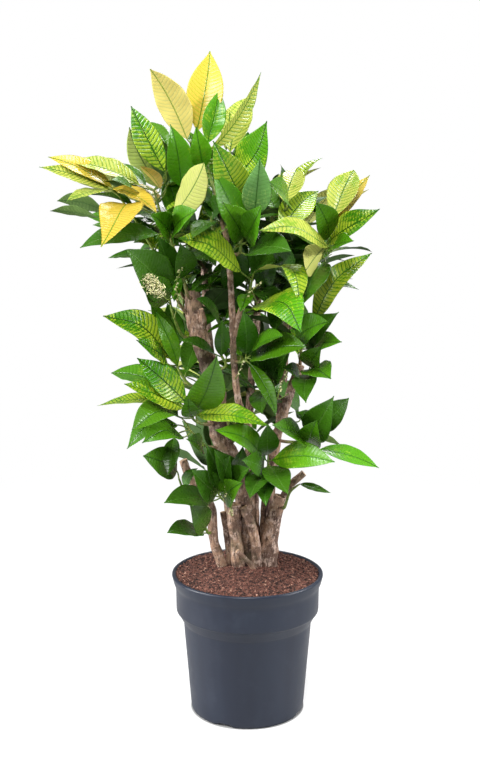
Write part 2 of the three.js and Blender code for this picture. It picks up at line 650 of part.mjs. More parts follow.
/** The nursery pot: rolled lip, collar band, step, tapered body, drain notches and holes. */
function potSolid() {
  const lipFoot = POT.height - POT.lipDepth;
  const profile = [
    [0, 0],
    [POT.baseRadius - 4, 0],
    [POT.baseRadius - 1, 1.5],
    [POT.baseRadius, 5],
    [POT.bodyTopRadius, POT.stepFoot],
    [POT.collarRadius - 2.5, POT.collarFoot],
    [POT.collarRadius, POT.collarFoot + 6],
    [POT.collarRadius + 0.5, lipFoot],
    [POT.lipRadius - 2, POT.height - 9],
    [POT.lipRadius, POT.height - 3],
    [POT.lipRadius - 1, POT.height],
    [POT.collarRadius + 1, POT.height],
    [POT.collarRadius - POT.wall, POT.height - 2],
    [POT.collarRadius - POT.wall, POT.collarFoot + 4],
    [POT.bodyTopRadius - POT.wall, POT.stepFoot],
    [innerRadius(POT.floor), POT.floor],
    [0, POT.floor],
  ];
  let pot = turned(profile, POT.sides);
  for (let i = 0; i < DRAIN_NOTCH.count; i += 1) {
    const bearing = THREE.MathUtils.degToRad(DRAIN_NOTCH.bearing + (360 * i) / DRAIN_NOTCH.count);
    const box = new THREE.BoxGeometry(DRAIN_NOTCH.depth, DRAIN_NOTCH.width, 2 * DRAIN_NOTCH.height);
    box.translate(POT.baseRadius, 0, 0).rotateZ(bearing);
    pot = pot.subtract(solidFrom(box));
  }
  for (let i = 0; i < DRAIN_HOLE.count; i += 1) {
    const hole = new THREE.CylinderGeometry(DRAIN_HOLE.radius, DRAIN_HOLE.radius, 4 * POT.floor, 12);
    hole.rotateX(Math.PI / 2).translate(DRAIN_HOLE.ringRadius, 0, 0);
    hole.rotateZ((2 * Math.PI * (i + 0.5)) / DRAIN_HOLE.count);
    pot = pot.subtract(solidFrom(hole));
  }
  return pot;
}

/** The potting mix, mounded towards the middle, which fills the pot up to a little below the lip. */
function soilSolid(canes) {
  const edge = POT.height - SOIL.belowLip;
  const profile = [
    [0, POT.floor + CLEARANCE],
    [innerRadius(POT.floor) - 1, POT.floor + CLEARANCE],
    [POT.bodyTopRadius - POT.wall - 1, POT.stepFoot],
    [POT.collarRadius - POT.wall - 1, POT.collarFoot + 6],
    [POT.collarRadius - POT.wall - 1, edge],
    [80, edge + SOIL.mound * 0.5],
    [40, edge + SOIL.mound * 0.9],
    [0, edge + SOIL.mound],
  ];
  return canes.reduce((soil, cane) => soil.subtract(cane), turned(profile, SOIL.sides));
}

// ---------------------------------------------------------------------------------------------
// Canes

/** The rods of one cane, thickened by grow: the stem with its buried foot, and its side branches. */
function caneRods(cane, grow) {
  const limbs = [cane.route, ...cane.branches].map((limb, order) => {
    const points = limb.map(place);
    const radii = limb.map((step) => step[3]);
    if (order === 0) {
      points.unshift(points[0].clone().add(new THREE.Vector3(0, 0, -CANE.buried)));
      radii.unshift(radii[0]);
    }
    return { points, radii };
  });
  return limbs.map(({ points, radii }) => {
    const length = new THREE.CatmullRomCurve3(points).getLength();
    const steps = Math.max(2, Math.round(length / CANE.stepLength));
    const sides = radii[0] > CANE.thinRadius ? CANE.sides : CANE.thinSides;
    return rod(points, radii, sides, steps, grow);
  });
}

/** The limb points of a cane, sampled closely, that a twig may grow from. */
function caneAxis(cane) {
  return [cane.route, ...cane.branches].flatMap(
    (limb) => new THREE.CatmullRomCurve3(limb.map(place)).getPoints(60),
  );
}

/** The largest body of a solid. */
function largestBody(solid) {
  return solid.decompose().reduce((best, body) => (body.volume() > best.volume() ? body : best));
}

/** A solid without what its thickened neighbours take up. */
function clearOf(solid, neighbours) {
  const box = solid.boundingBox();
  const near = neighbours.filter((neighbour) => {
    const other = neighbour.boundingBox();
    return [0, 1, 2].every((i) => box.min[i] < other.max[i] && box.max[i] > other.min[i]);
  });
  return near.reduce((left, neighbour) => left.subtract(neighbour), solid);
}

// ---------------------------------------------------------------------------------------------
// Shoots

const TO_VIEWER = new THREE.Vector3(0, -Math.cos(FRONT_VIEW.tilt), Math.sin(FRONT_VIEW.tilt));
const SKY = new THREE.Vector3(0, 0, 1);
const RIGHT = new THREE.Vector3(1, 0, 0);

/** The part of a vector that is square to a direction, at unit length. */
function squareTo(direction, vector) {
  return vector.clone().addScaledVector(direction, -vector.dot(direction)).normalize();
}

/** The tip of a front leaf: moved along its line of sight where the blade would be too stubby. */
function settleTip(leaf, foot) {
  const tip = place(leaf.tip);
  const [across, down, depth] = leaf.tip;
  const away = leaf.tip[2] > leaf.foot[2] ? 1 : -1;
  const sight = place([across, down, depth + away]).sub(tip).normalize();
  const chord = tip.clone().sub(foot);
  const lacking = (LEAF.slenderness * leaf.width) ** 2 - chord.lengthSq();
  if (lacking <= 0) return tip;
  const lean = chord.dot(sight);
  return tip.addScaledVector(sight, Math.sqrt(lean * lean + lacking) - lean);
}

/** A front leaf in mm, with the direction that its upper face looks in. */
function settleLeaf(leaf) {
  const foot = place(leaf.foot);
  const tip = settleTip(leaf, foot);
  const along = tip.clone().sub(foot).normalize();
  const view = squareTo(along, TO_VIEWER);
  const side = along.clone().cross(view);
  if (side.dot(Math.abs(along.z) < 0.8 ? SKY : RIGHT) < 0) side.negate();
  const turn = THREE.MathUtils.degToRad(leaf.turn);
  const face = view.multiplyScalar(Math.cos(turn)).addScaledVector(side, Math.sin(turn));
  return { tip, foot, face, width: leaf.width, tone: leaf.tone };
}

/** A front shoot in mm. */
function settleShoot(shoot) {
  return { ...shoot, twig: shoot.twig.map(place), leaves: shoot.leaves.map(settleLeaf) };
}

/** A shoot behind: the mirror image of a front one, swung and dropped. */
function mirroredShoot(plan, front) {
  const swing = THREE.MathUtils.degToRad(plan.swing);
  const mirror = new THREE.Matrix4().makeScale(1, -1, 1);
  const turn = new THREE.Matrix4().makeRotationZ(swing).multiply(mirror);
  const middle = new THREE.Vector3(0, PLANT_MIDDLE_Y, 0);
  const move = (point) => point.clone().sub(middle).applyMatrix4(turn).add(middle)
    .add(new THREE.Vector3(0, 0, -plan.drop));
  const leaves = front.leaves.map((leaf) => ({
    ...leaf,
    tip: move(leaf.tip),
    foot: move(leaf.foot),
    face: leaf.face.clone().applyMatrix4(turn),
  }));
  return { name: plan.name, cane: plan.cane, twig: front.twig.map(move), leaves };
}

/** The point of a list that lies nearest to a place. */
function nearest(points, goal) {
  return points.reduce((best, point) => (
    point.distanceTo(goal) < best.distanceTo(goal) ? point : best
  ));
}

/** The places on a twig's straight lengths that a leaf stalk may start from. */
function stalkStarts(curve) {
  const joints = curve.getPoints(TWIG.steps);
  const parts = Array.from({ length: TWIG.stalksPerStep }, (_, i) => i / TWIG.stalksPerStep);
  return joints.slice(0, -1).flatMap((joint, step) => (
    parts.map((part) => joint.clone().lerp(joints[step + 1], part))
  ));
}

/** The twig's curve, from the nearest free point of its cane to the growing tip. */
function twigCurve(shoot, axis, taken) {
  const free = axis.filter((point) => (
    taken.every((other) => other.distanceTo(point) > TWIG.footSpacing)
  ));
  const foot = nearest(free, shoot.twig[0]);
  taken.push(foot);
  return new THREE.CatmullRomCurve3([foot, ...shoot.twig]);
}

/** A leaf as a closed blade with a flat upper face, a keel below, and a stalk from its twig. */
function leafBlade(leaf, curve, grow) {
  const root = leaf.foot.clone();
  const sought = root.clone().add(new THREE.Vector3(0, 0, -LEAF.stalkDrop));
  const start = nearest(stalkStarts(curve), sought);
  const length = leaf.tip.distanceTo(root);
  const bend = leaf.tip.clone().add(root).multiplyScalar(0.5)
    .addScaledVector(leaf.face, 2 * LEAF.arch * length);
  const midrib = new THREE.QuadraticBezierCurve3(root, bend, leaf.tip);
  const ring = (centre, along, halfWidth, keel) => {
    const up = squareTo(along, leaf.face);
    const side = along.clone().cross(up);
    const corner = (across, rise) => centre.clone()
      .addScaledVector(side, across).addScaledVector(up, rise);
    if (!grow) return [corner(-halfWidth, 0), corner(halfWidth, 0), corner(0, -keel)];
    const half = halfWidth + grow;
    const low = -keel - grow;
    return [corner(-half, grow), corner(half, grow), corner(half, low), corner(-half, low)];
  };
  const stalk = root.clone().sub(start).normalize();
  const slim = LEAF.stalkRadius;
  const rings = [ring(start, stalk, slim, slim)];
  LEAF.stations.forEach(({ at, width }) => {
    const halfWidth = (leaf.width / 2) * width;
    rings.push(ring(midrib.getPoint(at), midrib.getTangent(at), halfWidth, LEAF.keel));
  });
  const end = leaf.tip.clone().addScaledVector(midrib.getTangent(1), grow);
  rings.push([end]);
  return loft(rings);
}

/** A whole shoot as one solid: its twig and its leaves, thickened by grow. */
function shootSolid(shoot, curve, grow) {
  const twig = rod(
    curve.points, [TWIG.footRadius, TWIG.tipRadius], TWIG.sides, TWIG.steps, grow,
  );
  const blades = shoot.leaves.map((leaf) => leafBlade(leaf, curve, grow));
  return wasm.Manifold.union([twig, ...blades]);
}

// ---------------------------------------------------------------------------------------------
// The plant

const plant = new THREE.Group();

/** Adds a solid to the plant as a named piece with its finish. */
function addPiece(name, solid, material) {
  const mesh = new THREE.Mesh(geometryFrom(solid), material);
  mesh.name = name;
  plant.add(mesh);
}

const placed = [];
CANES.forEach((cane) => {
  const solid = clearOf(wasm.Manifold.union(caneRods(cane, 0)), placed);
  placed.push(wasm.Manifold.union(caneRods(cane, CLEARANCE)));
  addPiece(cane.name, solid, FINISHES.bark);
});

addPiece('pot', potSolid(), FINISHES.pot);
addPiece('soil', soilSolid(placed), FINISHES.soil);

const axes = new Map(CANES.map((cane) => [cane.name, caneAxis(cane)]));
const fronts = new Map(
  [...FRONT_SHOOTS, ...INNER_SHOOTS].map((shoot) => [shoot.name, settleShoot(shoot)]),
);
const behind = BACK_SHOOTS.map((plan) => mirroredShoot(plan, fronts.get(plan.of)));
const taken = [];
[...fronts.values(), ...behind].forEach((shoot) => {
  const curve = twigCurve(shoot, axes.get(shoot.cane), taken);
  const solid = clearOf(shootSolid(shoot, curve, 0), placed);
  placed.push(shootSolid(shoot, curve, CLEARANCE));
  const yellow = shoot.leaves.filter(({ tone }) => tone === 'yellow').length > 1;
  addPiece(shoot.name, solid, yellow ? FINISHES.yellow : FINISHES.green);
});

export default plant;
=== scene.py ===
"""A croton house plant in its nursery pot: pieces, materials, light and camera.

Places are read on a front view as (squares across, squares down, depth in mm) and turned into
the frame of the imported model, which has its origin at the centre of the pot's flat underside.
"""

from __future__ import annotations

import logging
import math
from dataclasses import dataclass, field, replace
from enum import Enum
from random import Random
from typing import Any, ClassVar, Iterable, Sequence

import bpy
import numpy as np
from bpy.types import Mesh, Object
from mathutils import Matrix, Vector

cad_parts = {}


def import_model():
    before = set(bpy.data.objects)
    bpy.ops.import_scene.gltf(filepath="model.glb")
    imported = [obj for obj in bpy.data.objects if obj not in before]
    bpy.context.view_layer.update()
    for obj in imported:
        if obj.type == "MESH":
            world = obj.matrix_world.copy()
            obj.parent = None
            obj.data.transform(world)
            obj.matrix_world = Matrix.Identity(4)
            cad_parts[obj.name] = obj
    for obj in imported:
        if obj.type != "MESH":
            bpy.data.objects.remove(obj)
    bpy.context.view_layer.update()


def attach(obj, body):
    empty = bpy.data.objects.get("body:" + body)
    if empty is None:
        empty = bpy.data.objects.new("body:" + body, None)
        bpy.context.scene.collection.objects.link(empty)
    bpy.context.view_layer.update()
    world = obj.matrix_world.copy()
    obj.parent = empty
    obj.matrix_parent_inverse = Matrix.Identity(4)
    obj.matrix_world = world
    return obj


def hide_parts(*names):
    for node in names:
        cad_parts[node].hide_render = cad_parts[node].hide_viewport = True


LOG = logging.getLogger("croton")
MM = 0.001
SEED = 11
Pair = tuple[float, float]
Place = tuple[float, float, float]
Four = tuple[float, float, float, float]


def linear(code: str) -> Four:
    """Turns an sRGB colour of six hex digits into a linear one with an alpha of 1."""
    parts = [int(code[i : i + 2], 16) / 255 for i in (0, 2, 4)]
    return (*(p / 12.92 if p <= 0.04045 else ((p + 0.055) / 1.055) ** 2.4 for p in parts), 1.0)


# ---- What the object is made of


@dataclass(frozen=True)
class Palette:
    """The colours of one kind of leaf.

    Attributes:
        ground: The blade between its veins.
        patch: The lighter blocks between the side veins.
        vein: Midrib and side veins.
        under: The matte lower face.
        patchiness: How much of the blade the lighter blocks take, 0 to 1.
        veining: How strongly the side veins show, 0 to 1.
    """

    ground: str
    patch: str
    vein: str
    under: str
    patchiness: float
    veining: float


class Tone(Enum):
    """The kinds of leaf, from the young yellow crown to the old dark foot."""

    YELLOW = Palette("b4b434", "dcc248", "6c8a1c", "c4bd70", 0.92, 0.25)
    GOLD = Palette("ac9c24", "d8b840", "6c8a1c", "c8b064", 0.92, 0.25)
    YOUNG = Palette("7ca028", "bcc254", "44741a", "c0c274", 0.64, 0.5)
    LIME = Palette("548e10", "9cb22c", "35660c", "b6b868", 0.6, 0.7)
    MOTTLED = Palette("488a0c", "a2bc2e", "224e08", "9cac54", 0.5, 0.75)
    FRESH = Palette("589814", "92b82c", "36720c", "7c9c48", 0.34, 0.22)
    # Lighter, bluer greens than FRESH: a green leaf's colour with the gloss of a bright softbox painted into
    # it as a painted sheen.
    FROSTED = Palette("689c50", "94b866", "3e7428", "7f9e58", 0.42, 0.35)
    GREEN = Palette("467a0e", "769c28", "2e5a0c", "557230", 0.3, 0.4)
    DARK = Palette("335e0f", "5c8228", "447020", "3a5622", 0.14, 0.22)


YELLOW, GOLD, YOUNG, LIME, MOTTLED, FRESH, FROSTED, GREEN, DARK = Tone


@dataclass(frozen=True)
class Leaf:
    """One leaf as it is read on the front view.

    Attributes:
        tip: Place of the blade's tip.
        foot: Place where the blade starts.
        width: Greatest width of the blade in mm.
        turn: Degrees: 0 shows the upper face, 90 turns it to the sky, 180 shows the underside.
        tone: Kind of leaf.
        middle: Place that the midrib bends through, or none for an even arch.
        outline: How full the blade is at its foot and at its tip, or none for the usual.
    """

    tip: Place
    foot: Place
    width: float
    turn: float
    tone: Tone
    middle: Place | None = None
    outline: Pair | None = None


@dataclass(frozen=True)
class Shoot:
    """A green twig with its leaves.

    Attributes:
        name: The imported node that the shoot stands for.
        cane: The cane it grows from.
        twig: Places up the twig, from near the cane to its end.
        leaves: The leaves.
    """

    name: str
    cane: str
    twig: tuple[Place, ...]
    leaves: tuple[Leaf, ...]


@dataclass(frozen=True)
class BackShoot:
    """A shoot behind the canes, the mirror image of a front one.

    Attributes:
        name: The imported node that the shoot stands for.
        of: The front shoot that it mirrors.
        cane: The cane it grows from.
        swing: Degrees that it is swung round the upright.
        drop: Millimetres that it is lowered.
    """

    name: str
    of: str
    cane: str
    swing: float
    drop: float


@dataclass(frozen=True)
class Cane:
    """A woody stem with its own branches.

    Attributes:
        name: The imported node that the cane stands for.
        route: Places up the stem, each with a radius in mm.
        branches: The same for each side branch.
    """

    name: str
    route: tuple[Four, ...]
    branches: tuple[tuple[Four, ...], ...] = ()


CANES = (
    Cane("cane_main", (
        (250, 562, 26, 18), (246, 510, 12, 15.5), (240, 476, 2, 15), (219, 434, -4, 14.5),
        (216, 392, -5, 14.5), (205, 354, -5, 14), (195, 321, -5, 13.5), (193, 291, -5, 12),
    ), (
        ((200, 332, -6, 7), (203, 322, -14, 6), (201, 309, -20, 4)),
    )),
    Cane("cane_right_base", (
        (268, 566, 5, 16), (270, 537, 5, 13.5), (275, 514, 4, 12), (281, 496, 3, 10),
    ), (
        ((279, 506, 3, 7), (290, 486, 2, 6), (304, 473, 0, 5.3)),
    )),
    Cane("cane_front", (
        (239, 570, -2, 11.5), (237, 550, -3, 10.5), (235, 530, -4, 10.5), (234, 504, -5, 12),
    )),
    Cane("cane_centre", (
        (255, 556, 44, 7), (255, 500, 34, 6.5), (250, 432, -14, 5.5), (239, 403, -20, 5.3),
        (235, 373, -21, 5.2), (233, 344, -21, 5), (232, 309, -20, 5), (230, 274, -18, 4.6),
        (226, 240, -16, 4),
    ), (
        ((234, 336, -21, 4.4), (240, 313, -24, 4.2), (248, 295, -28, 3.6)),
    )),
    Cane("cane_right", (
        (262, 550, 40, 8), (268, 500, 38, 7.6), (276, 440, 12, 7.4), (290, 393, -5, 7.2),
        (300, 365, -8, 7.4),
    )),
    Cane("cane_mid", ((257, 566, -4, 8.6), (255, 542, -6, 7.6), (250, 522, -8, 7.8), (243, 507, -9, 7.2))),
    Cane("cane_left", (
        (223, 569, 0, 8.5), (214, 540, -4, 7.6), (210, 505, -4, 7.6), (200, 491, -4, 7.4),
        (189, 475, -4, 7), (183, 460, -4, 6.6),
    )),
    Cane("cane_slim", ((230, 567, 6, 5.2), (227, 537, 8, 5), (223, 512, 8, 4.8))),
    Cane("cane_stub", ((254, 570, -18, 4.2), (246, 560, -22, 3.8), (237, 551, -26, 3.8))),
    Cane("cane_upright", ((262, 552, 26, 5.2), (264, 505, 10, 4.8), (268, 476, -4, 4.4))),
    Cane("cane_back_left", (
        (232, 558, 50, 8), (226, 480, 62, 7.4), (216, 400, 66, 7), (208, 330, 70, 6), (204, 268, 74, 5),
    )),
    Cane("cane_back_mid", (
        (248, 552, 64, 7.4), (249, 480, 72, 7), (250, 400, 76, 6.6), (256, 330, 78, 6), (260, 262, 74, 5),
    )),
    Cane("cane_back_right", (
        (266, 556, 62, 7.6), (272, 480, 70, 7), (282, 400, 68, 6.4), (287, 318, 56, 5.4),
    )),
)

FRONT_SHOOTS = (
    Shoot("shoot_crown", "cane_centre", ((214, 190, -16), (203, 150, -16), (199, 134, -16)), (
        Leaf((210, 51, -8), (197, 131, -16), 54, 8, YELLOW),
        Leaf((150, 69, -52), (187, 139, -28), 50, 158, YELLOW),
        Leaf((219, 90, -12), (207, 144, -20), 34, 10, FRESH),
        Leaf((261, 72, -4), (209, 151, -18), 38, 60, YOUNG),
        Leaf((230, 112, 34), (226, 150, 22), 24, 20, YOUNG),
        Leaf((248, 97, 20), (230, 152, 6), 48, 16, YOUNG),
        Leaf((196, 126, -48), (203, 169, -30), 34, 20, FRESH),
        Leaf((170, 124, -40), (181, 187, -24), 44, 20, FRESH),
        Leaf((267, 121, -50), (236, 180, -24), 60, 24, MOTTLED, (259, 148, -52)),
    )),
    Shoot("shoot_centre_top", "cane_centre", ((240, 252, -62), (240, 228, -66), (240, 210, -66)), (
        Leaf((213, 141, -76), (243, 206, -68), 52, 6, LIME),
        # This leaf's blue-grey sheen is painted into its colour.
        Leaf((260, 158, -94), (254, 216, -78), 42, 4, FROSTED),
        Leaf((262, 204, -128), (247, 241, -76), 44, 30, GREEN),
        Leaf((213, 170, -104), (240, 228, -76), 44, 16, FRESH),
        Leaf((222, 202, -118), (243, 238, -68), 46, 20, GREEN),
        Leaf((291, 251, -84), (247, 254, -70), 50, 40, DARK),
        Leaf((229, 294, 12), (240, 244, -20), 44, 20, DARK),
        Leaf((270, 292, 16), (248, 246, -20), 44, 20, DARK),
    )),
    Shoot("shoot_centre_left", "cane_centre", ((220, 244, -40), (212, 226, -56), (211, 216, -58)), (
        Leaf((206, 184, -44), (212, 220, -56), 36, 30, DARK),
        Leaf((192, 238, -88), (214, 222, -60), 34, 40, DARK),
    )),
    Shoot("shoot_inner_left", "cane_main", (
        (188, 296, -30), (180, 264, -44), (171, 240, -58), (169, 226, -58),
    ), (
        Leaf((204, 163, -82), (171, 219, -62), 50, 206, LIME),
        Leaf((197, 210, -104), (173, 233, -62), 44, 30, GREEN),
        Leaf((150, 214, -100), (170, 236, -60), 40, 30, GREEN),
        Leaf((80, 248, -95), (158, 234, -66), 46, 40, DARK),
        Leaf((133, 212, -20), (160, 224, -46), 34, 60, DARK),
        Leaf((101, 247, -100), (127, 204, -62), 62, 14, GOLD, None, (0.42, 1.2)),
    )),
    Shoot("shoot_left_high", "cane_main", (
        (184, 282, -2), (173, 250, -4), (161, 215, -10), (154, 190, -14),
    ), (
        Leaf((131, 106, -50), (165, 172, -40), 40, -16, MOTTLED),
        Leaf((141, 121, 20), (168, 145, 10), 32, 40, GREEN),
        Leaf((149, 131, 34), (166, 168, 8), 36, 30, DARK),
        Leaf((98, 165, 6), (146, 186, -12), 40, 60, GREEN),
        Leaf((110, 179, -60), (136, 193, -24), 34, 60, GREEN),
        Leaf((65, 161, -24), (140, 186, -18), 48, 50, YOUNG),
        Leaf((140, 166, -40), (160, 189, -22), 26, 120, GOLD),
    )),
    Shoot("shoot_left_far", "cane_main", (
        (182, 308, -14), (160, 262, -20), (134, 218, -28), (119, 196, -30),
    ), (
        Leaf((48, 157, -30), (112, 188, -30), 44, 52, YELLOW),
        Leaf((39, 167, -50), (110, 190, -34), 44, 50, YOUNG),
        Leaf((67, 201, -84), (112, 191, -38), 38, 60, YOUNG),
        Leaf((86, 195, -4), (132, 206, -24), 36, 70, DARK),
        Leaf((57, 201, 20), (105, 212, -16), 38, 120, GREEN),
        Leaf((50, 211, -10), (100, 219, -22), 30, 110, GREEN),
        Leaf((157, 214, -80), (113, 188, -34), 42, 52, GOLD),
    )),
    Shoot("shoot_left_low", "cane_main", ((184, 337, -14), (173, 314, -24), (168, 288, -32)), (
        Leaf((127, 250, -66), (168, 299, -38), 64, 24, DARK),
        Leaf((141, 273, -90), (168, 302, -36), 46, 10, GREEN),
        Leaf((158, 236, -40), (172, 284, -34), 42, 40, DARK),
        Leaf((180, 243, -76), (186, 276, -34), 38, 30, DARK),
        Leaf((174, 302, -60), (180, 278, -36), 20, 30, GREEN),
        Leaf((108, 258, 6), (150, 262, -20), 34, 60, DARK),
    )),
    Shoot("shoot_trunk", "cane_main", ((226, 366, -30), (222, 356, -34)), (
        Leaf((178, 340, -62), (215, 354, -34), 34, 60, DARK),
        Leaf((196, 299, -66), (220, 326, -36), 34, 60, DARK),
        Leaf((222, 320, -52), (221, 356, -36), 24, 10, DARK),
    )),
    Shoot("shoot_left_mid", "cane_main", ((192, 386, -20), (182, 376, -22), (176, 364, -22)), (
        Leaf((103, 316, -40), (171, 359, -24), 50, 30, MOTTLED, (141, 326, -44)),
        Leaf((149, 299, -6), (169, 356, -14), 42, 40, GREEN),
        Leaf((167, 303, 26), (172, 352, 2), 38, 20, DARK),
        Leaf((156, 312, -50), (178, 366, -26), 32, 40, FRESH),
        Leaf((136, 340, -78), (168, 364, -28), 40, 60, MOTTLED),
    )),
    Shoot("shoot_left_waist", "cane_main", ((203, 424, -36), (193, 419, -46), (190, 409, -50)), (
        Leaf((137, 358, -66), (186, 403, -50), 46, 24, MOTTLED),
        Leaf((124, 384, -90), (183, 408, -54), 46, 44, LIME),
        Leaf((97, 406, -60), (170, 401, -48), 42, 66, LIME),
        Leaf((111, 373, -24), (164, 388, -36), 44, 50, GREEN),
        Leaf((217, 355, -84), (195, 410, -56), 56, -24, GREEN),
        Leaf((188, 397, -90), (192, 417, -56), 26, 10, GREEN),
        Leaf((148, 402, -30), (178, 416, -42), 36, 56, DARK),
        Leaf((271, 427, -96), (197, 415, -58), 48, 52, LIME, (234, 416, -86)),
    )),
    Shoot("shoot_left_hip", "cane_main", ((206, 446, -26), (196, 436, -36), (190, 430, -38)), (
        Leaf((132, 430, -54), (182, 419, -44), 48, 52, GREEN, (158, 412, -56)),
        Leaf((127, 449, -84), (178, 425, -48), 40, 40, GREEN, (148, 426, -78)),
        Leaf((142, 443, -104), (183, 437, -52), 42, 44, GREEN, (163, 431, -88)),
        Leaf((168, 475, -74), (174, 438, -48), 28, 20, DARK),
        Leaf((186, 439, -86), (202, 448, -44), 32, 50, GREEN),
    )),
    Shoot("shoot_left_knee", "cane_left", ((184, 489, -18), (179, 479, -22)), (
        Leaf((143, 456, -64), (177, 471, -24), 48, 32, GREEN),
        Leaf((198, 468, -64), (184, 486, -26), 20, 30, DARK),
    )),
    Shoot("shoot_left_foot", "cane_left", ((208, 533, -20), (206, 528, -24)), (
        Leaf((189, 503, -40), (205, 530, -26), 44, 40, DARK),
        Leaf((167, 533, -46), (203, 533, -26), 38, 60, DARK),
    )),
    Shoot("shoot_low_centre", "cane_front", ((228, 503, -24), (222, 499, -32), (218, 493, -36)), (
        Leaf((164, 503, -76), (211, 501, -40), 44, 48, DARK),
        Leaf((192, 470, -70), (216, 496, -40), 46, 30, DARK),
        Leaf((243, 483, -90), (225, 501, -42), 42, 30, GREEN),
        Leaf((206, 444, -58), (220, 486, -38), 48, 40, DARK),
        Leaf((230, 456, -74), (223, 488, -42), 38, 30, DARK),
        Leaf((214, 450, -64), (232, 480, -44), 40, 30, DARK),
        Leaf((250, 468, -76), (230, 490, -46), 38, 40, DARK),
        Leaf((243, 446, -56), (232, 482, -42), 36, 24, DARK),
    )),
    Shoot("shoot_centre_low", "cane_upright", ((268, 470, -30), (268, 462, -46)), (
        Leaf((215, 430, -104), (266, 460, -54), 42, 40, FRESH, (243, 437, -90)),
        Leaf((335, 462, -96), (272, 460, -54), 46, 32, FRESH, (303, 456, -86)),
        Leaf((288, 494, -96), (270, 466, -52), 42, 30, DARK),
        Leaf((242, 460, -112), (264, 470, -54), 40, 34, DARK),
        Leaf((268, 424, -50), (268, 455, -46), 34, 20, DARK),
        Leaf((250, 498, -86), (267, 470, -54), 38, 36, DARK),
        Leaf((266, 506, -78), (270, 474, -52), 32, 20, DARK),
    )),
    Shoot("shoot_right_low", "cane_right", ((290, 442, -20), (300, 441, -30), (308, 434, -34)), (
        Leaf((272, 425, -92), (304, 440, -38), 48, 56, GREEN),
        Leaf((317, 420, -70), (310, 445, -38), 40, 20, GREEN),
        Leaf((334, 396, -54), (312, 438, -34), 50, 24, DARK),
        Leaf((349, 398, -34), (322, 430, -18), 40, 40, DARK),
        Leaf((379, 468, -30), (318, 450, -30), 38, 52, FRESH),
        Leaf((296, 412, -30), (306, 430, -16), 36, 60, DARK),
    )),
    Shoot("shoot_right_foot", "cane_right_base", ((284, 508, -14), (290, 492, -18), (298, 485, -20)), (
        Leaf((331, 493, -30), (300, 484, -22), 14, 40, DARK),
    )),
    Shoot("shoot_right_fork", "cane_right", ((301, 385, -18), (308, 374, -26)), (
        Leaf((331, 379, -70), (308, 370, -30), 46, 40, GREEN),
        Leaf((306, 403, -60), (308, 374, -30), 38, 20, DARK),
        Leaf((322, 346, -66), (310, 367, -30), 38, 20, GREEN),
        Leaf((283, 368, -60), (300, 376, -26), 26, 40, GREEN),
    )),
    Shoot("shoot_right_mid", "cane_right", ((301, 352, -14), (302, 340, -24), (306, 326, -26)), (
        Leaf((329, 322, -90), (296, 343, -32), 50, 36, GREEN),
        Leaf((339, 312, -46), (304, 344, -30), 46, 34, DARK),
        Leaf((342, 342, -80), (310, 348, -28), 42, 50, GREEN),
        Leaf((372, 253, -34), (313, 322, -30), 38, 24, LIME, (335, 281, -58)),
        Leaf((300, 300, -70), (301, 333, -32), 26, 55, GREEN),
    )),
    Shoot("shoot_right_far", "cane_back_right", ((300, 290, 30), (318, 262, -6), (327, 248, -26)), (
        Leaf((258, 231, -140), (328, 247, -76), 42, 40, YOUNG, (292, 227, -124)),
        Leaf((380, 209, -44), (328, 244, -30), 48, 44, MOTTLED),
        Leaf((354, 170, -24), (333, 218, -26), 46, 18, YOUNG),
        Leaf((370, 175, 66), (336, 220, 20), 42, 40, YELLOW),
        Leaf((316, 203, -70), (328, 239, -34), 42, 20, GREEN),
        Leaf((306, 270, -104), (325, 247, -40), 42, 140, LIME),
        Leaf((354, 241, -90), (329, 251, -36), 42, 50, GREEN),
        Leaf((372, 252, 14), (332, 252, -20), 32, 82, DARK),
        Leaf((302, 306, -70), (325, 262, -32), 50, 30, DARK),
    )),
    Shoot("shoot_right_high", "cane_back_mid", ((272, 240, -2), (282, 220, -34), (286, 206, -40)), (
        Leaf((319, 191, -52), (281, 231, -58), 48, 20, LIME),
        Leaf((298, 167, -52), (285, 202, -54), 44, 18, YOUNG),
        Leaf((269, 182, -80), (288, 208, -48), 44, 50, GREEN),
        Leaf((323, 158, 20), (297, 184, -20), 32, 60, LIME),
        Leaf((280, 164, 6), (284, 200, -30), 32, 50, DARK),
        Leaf((330, 196, 20), (304, 214, -22), 38, 60, DARK),
    )),
    Shoot("shoot_centre_front", "cane_centre", ((250, 290, -40), (252, 280, -48)), (
        Leaf((178, 238, -124), (241, 272, -66), 50, 36, LIME, (209, 245, -106)),
        Leaf((301, 332, -96), (254, 306, -50), 62, 30, MOTTLED, (286, 305, -92)),
        Leaf((300, 303, -112), (258, 270, -60), 46, 56, LIME, (292, 270, -98)),
        Leaf((240, 312, -70), (247, 294, -46), 24, 20, GREEN),
    )),
    Shoot("shoot_centre_mid", "cane_centre", ((242, 362, -36), (247, 358, -42)), (
        Leaf((306, 347, -92), (251, 359, -46), 54, 50, GREEN),
        Leaf((276, 416, -90), (250, 364, -48), 24, 20, GREEN),
        Leaf((283, 336, -84), (251, 355, -48), 42, 62, GREEN),
        Leaf((243, 310, -44), (246, 354, -42), 36, 20, DARK),
    )),
)

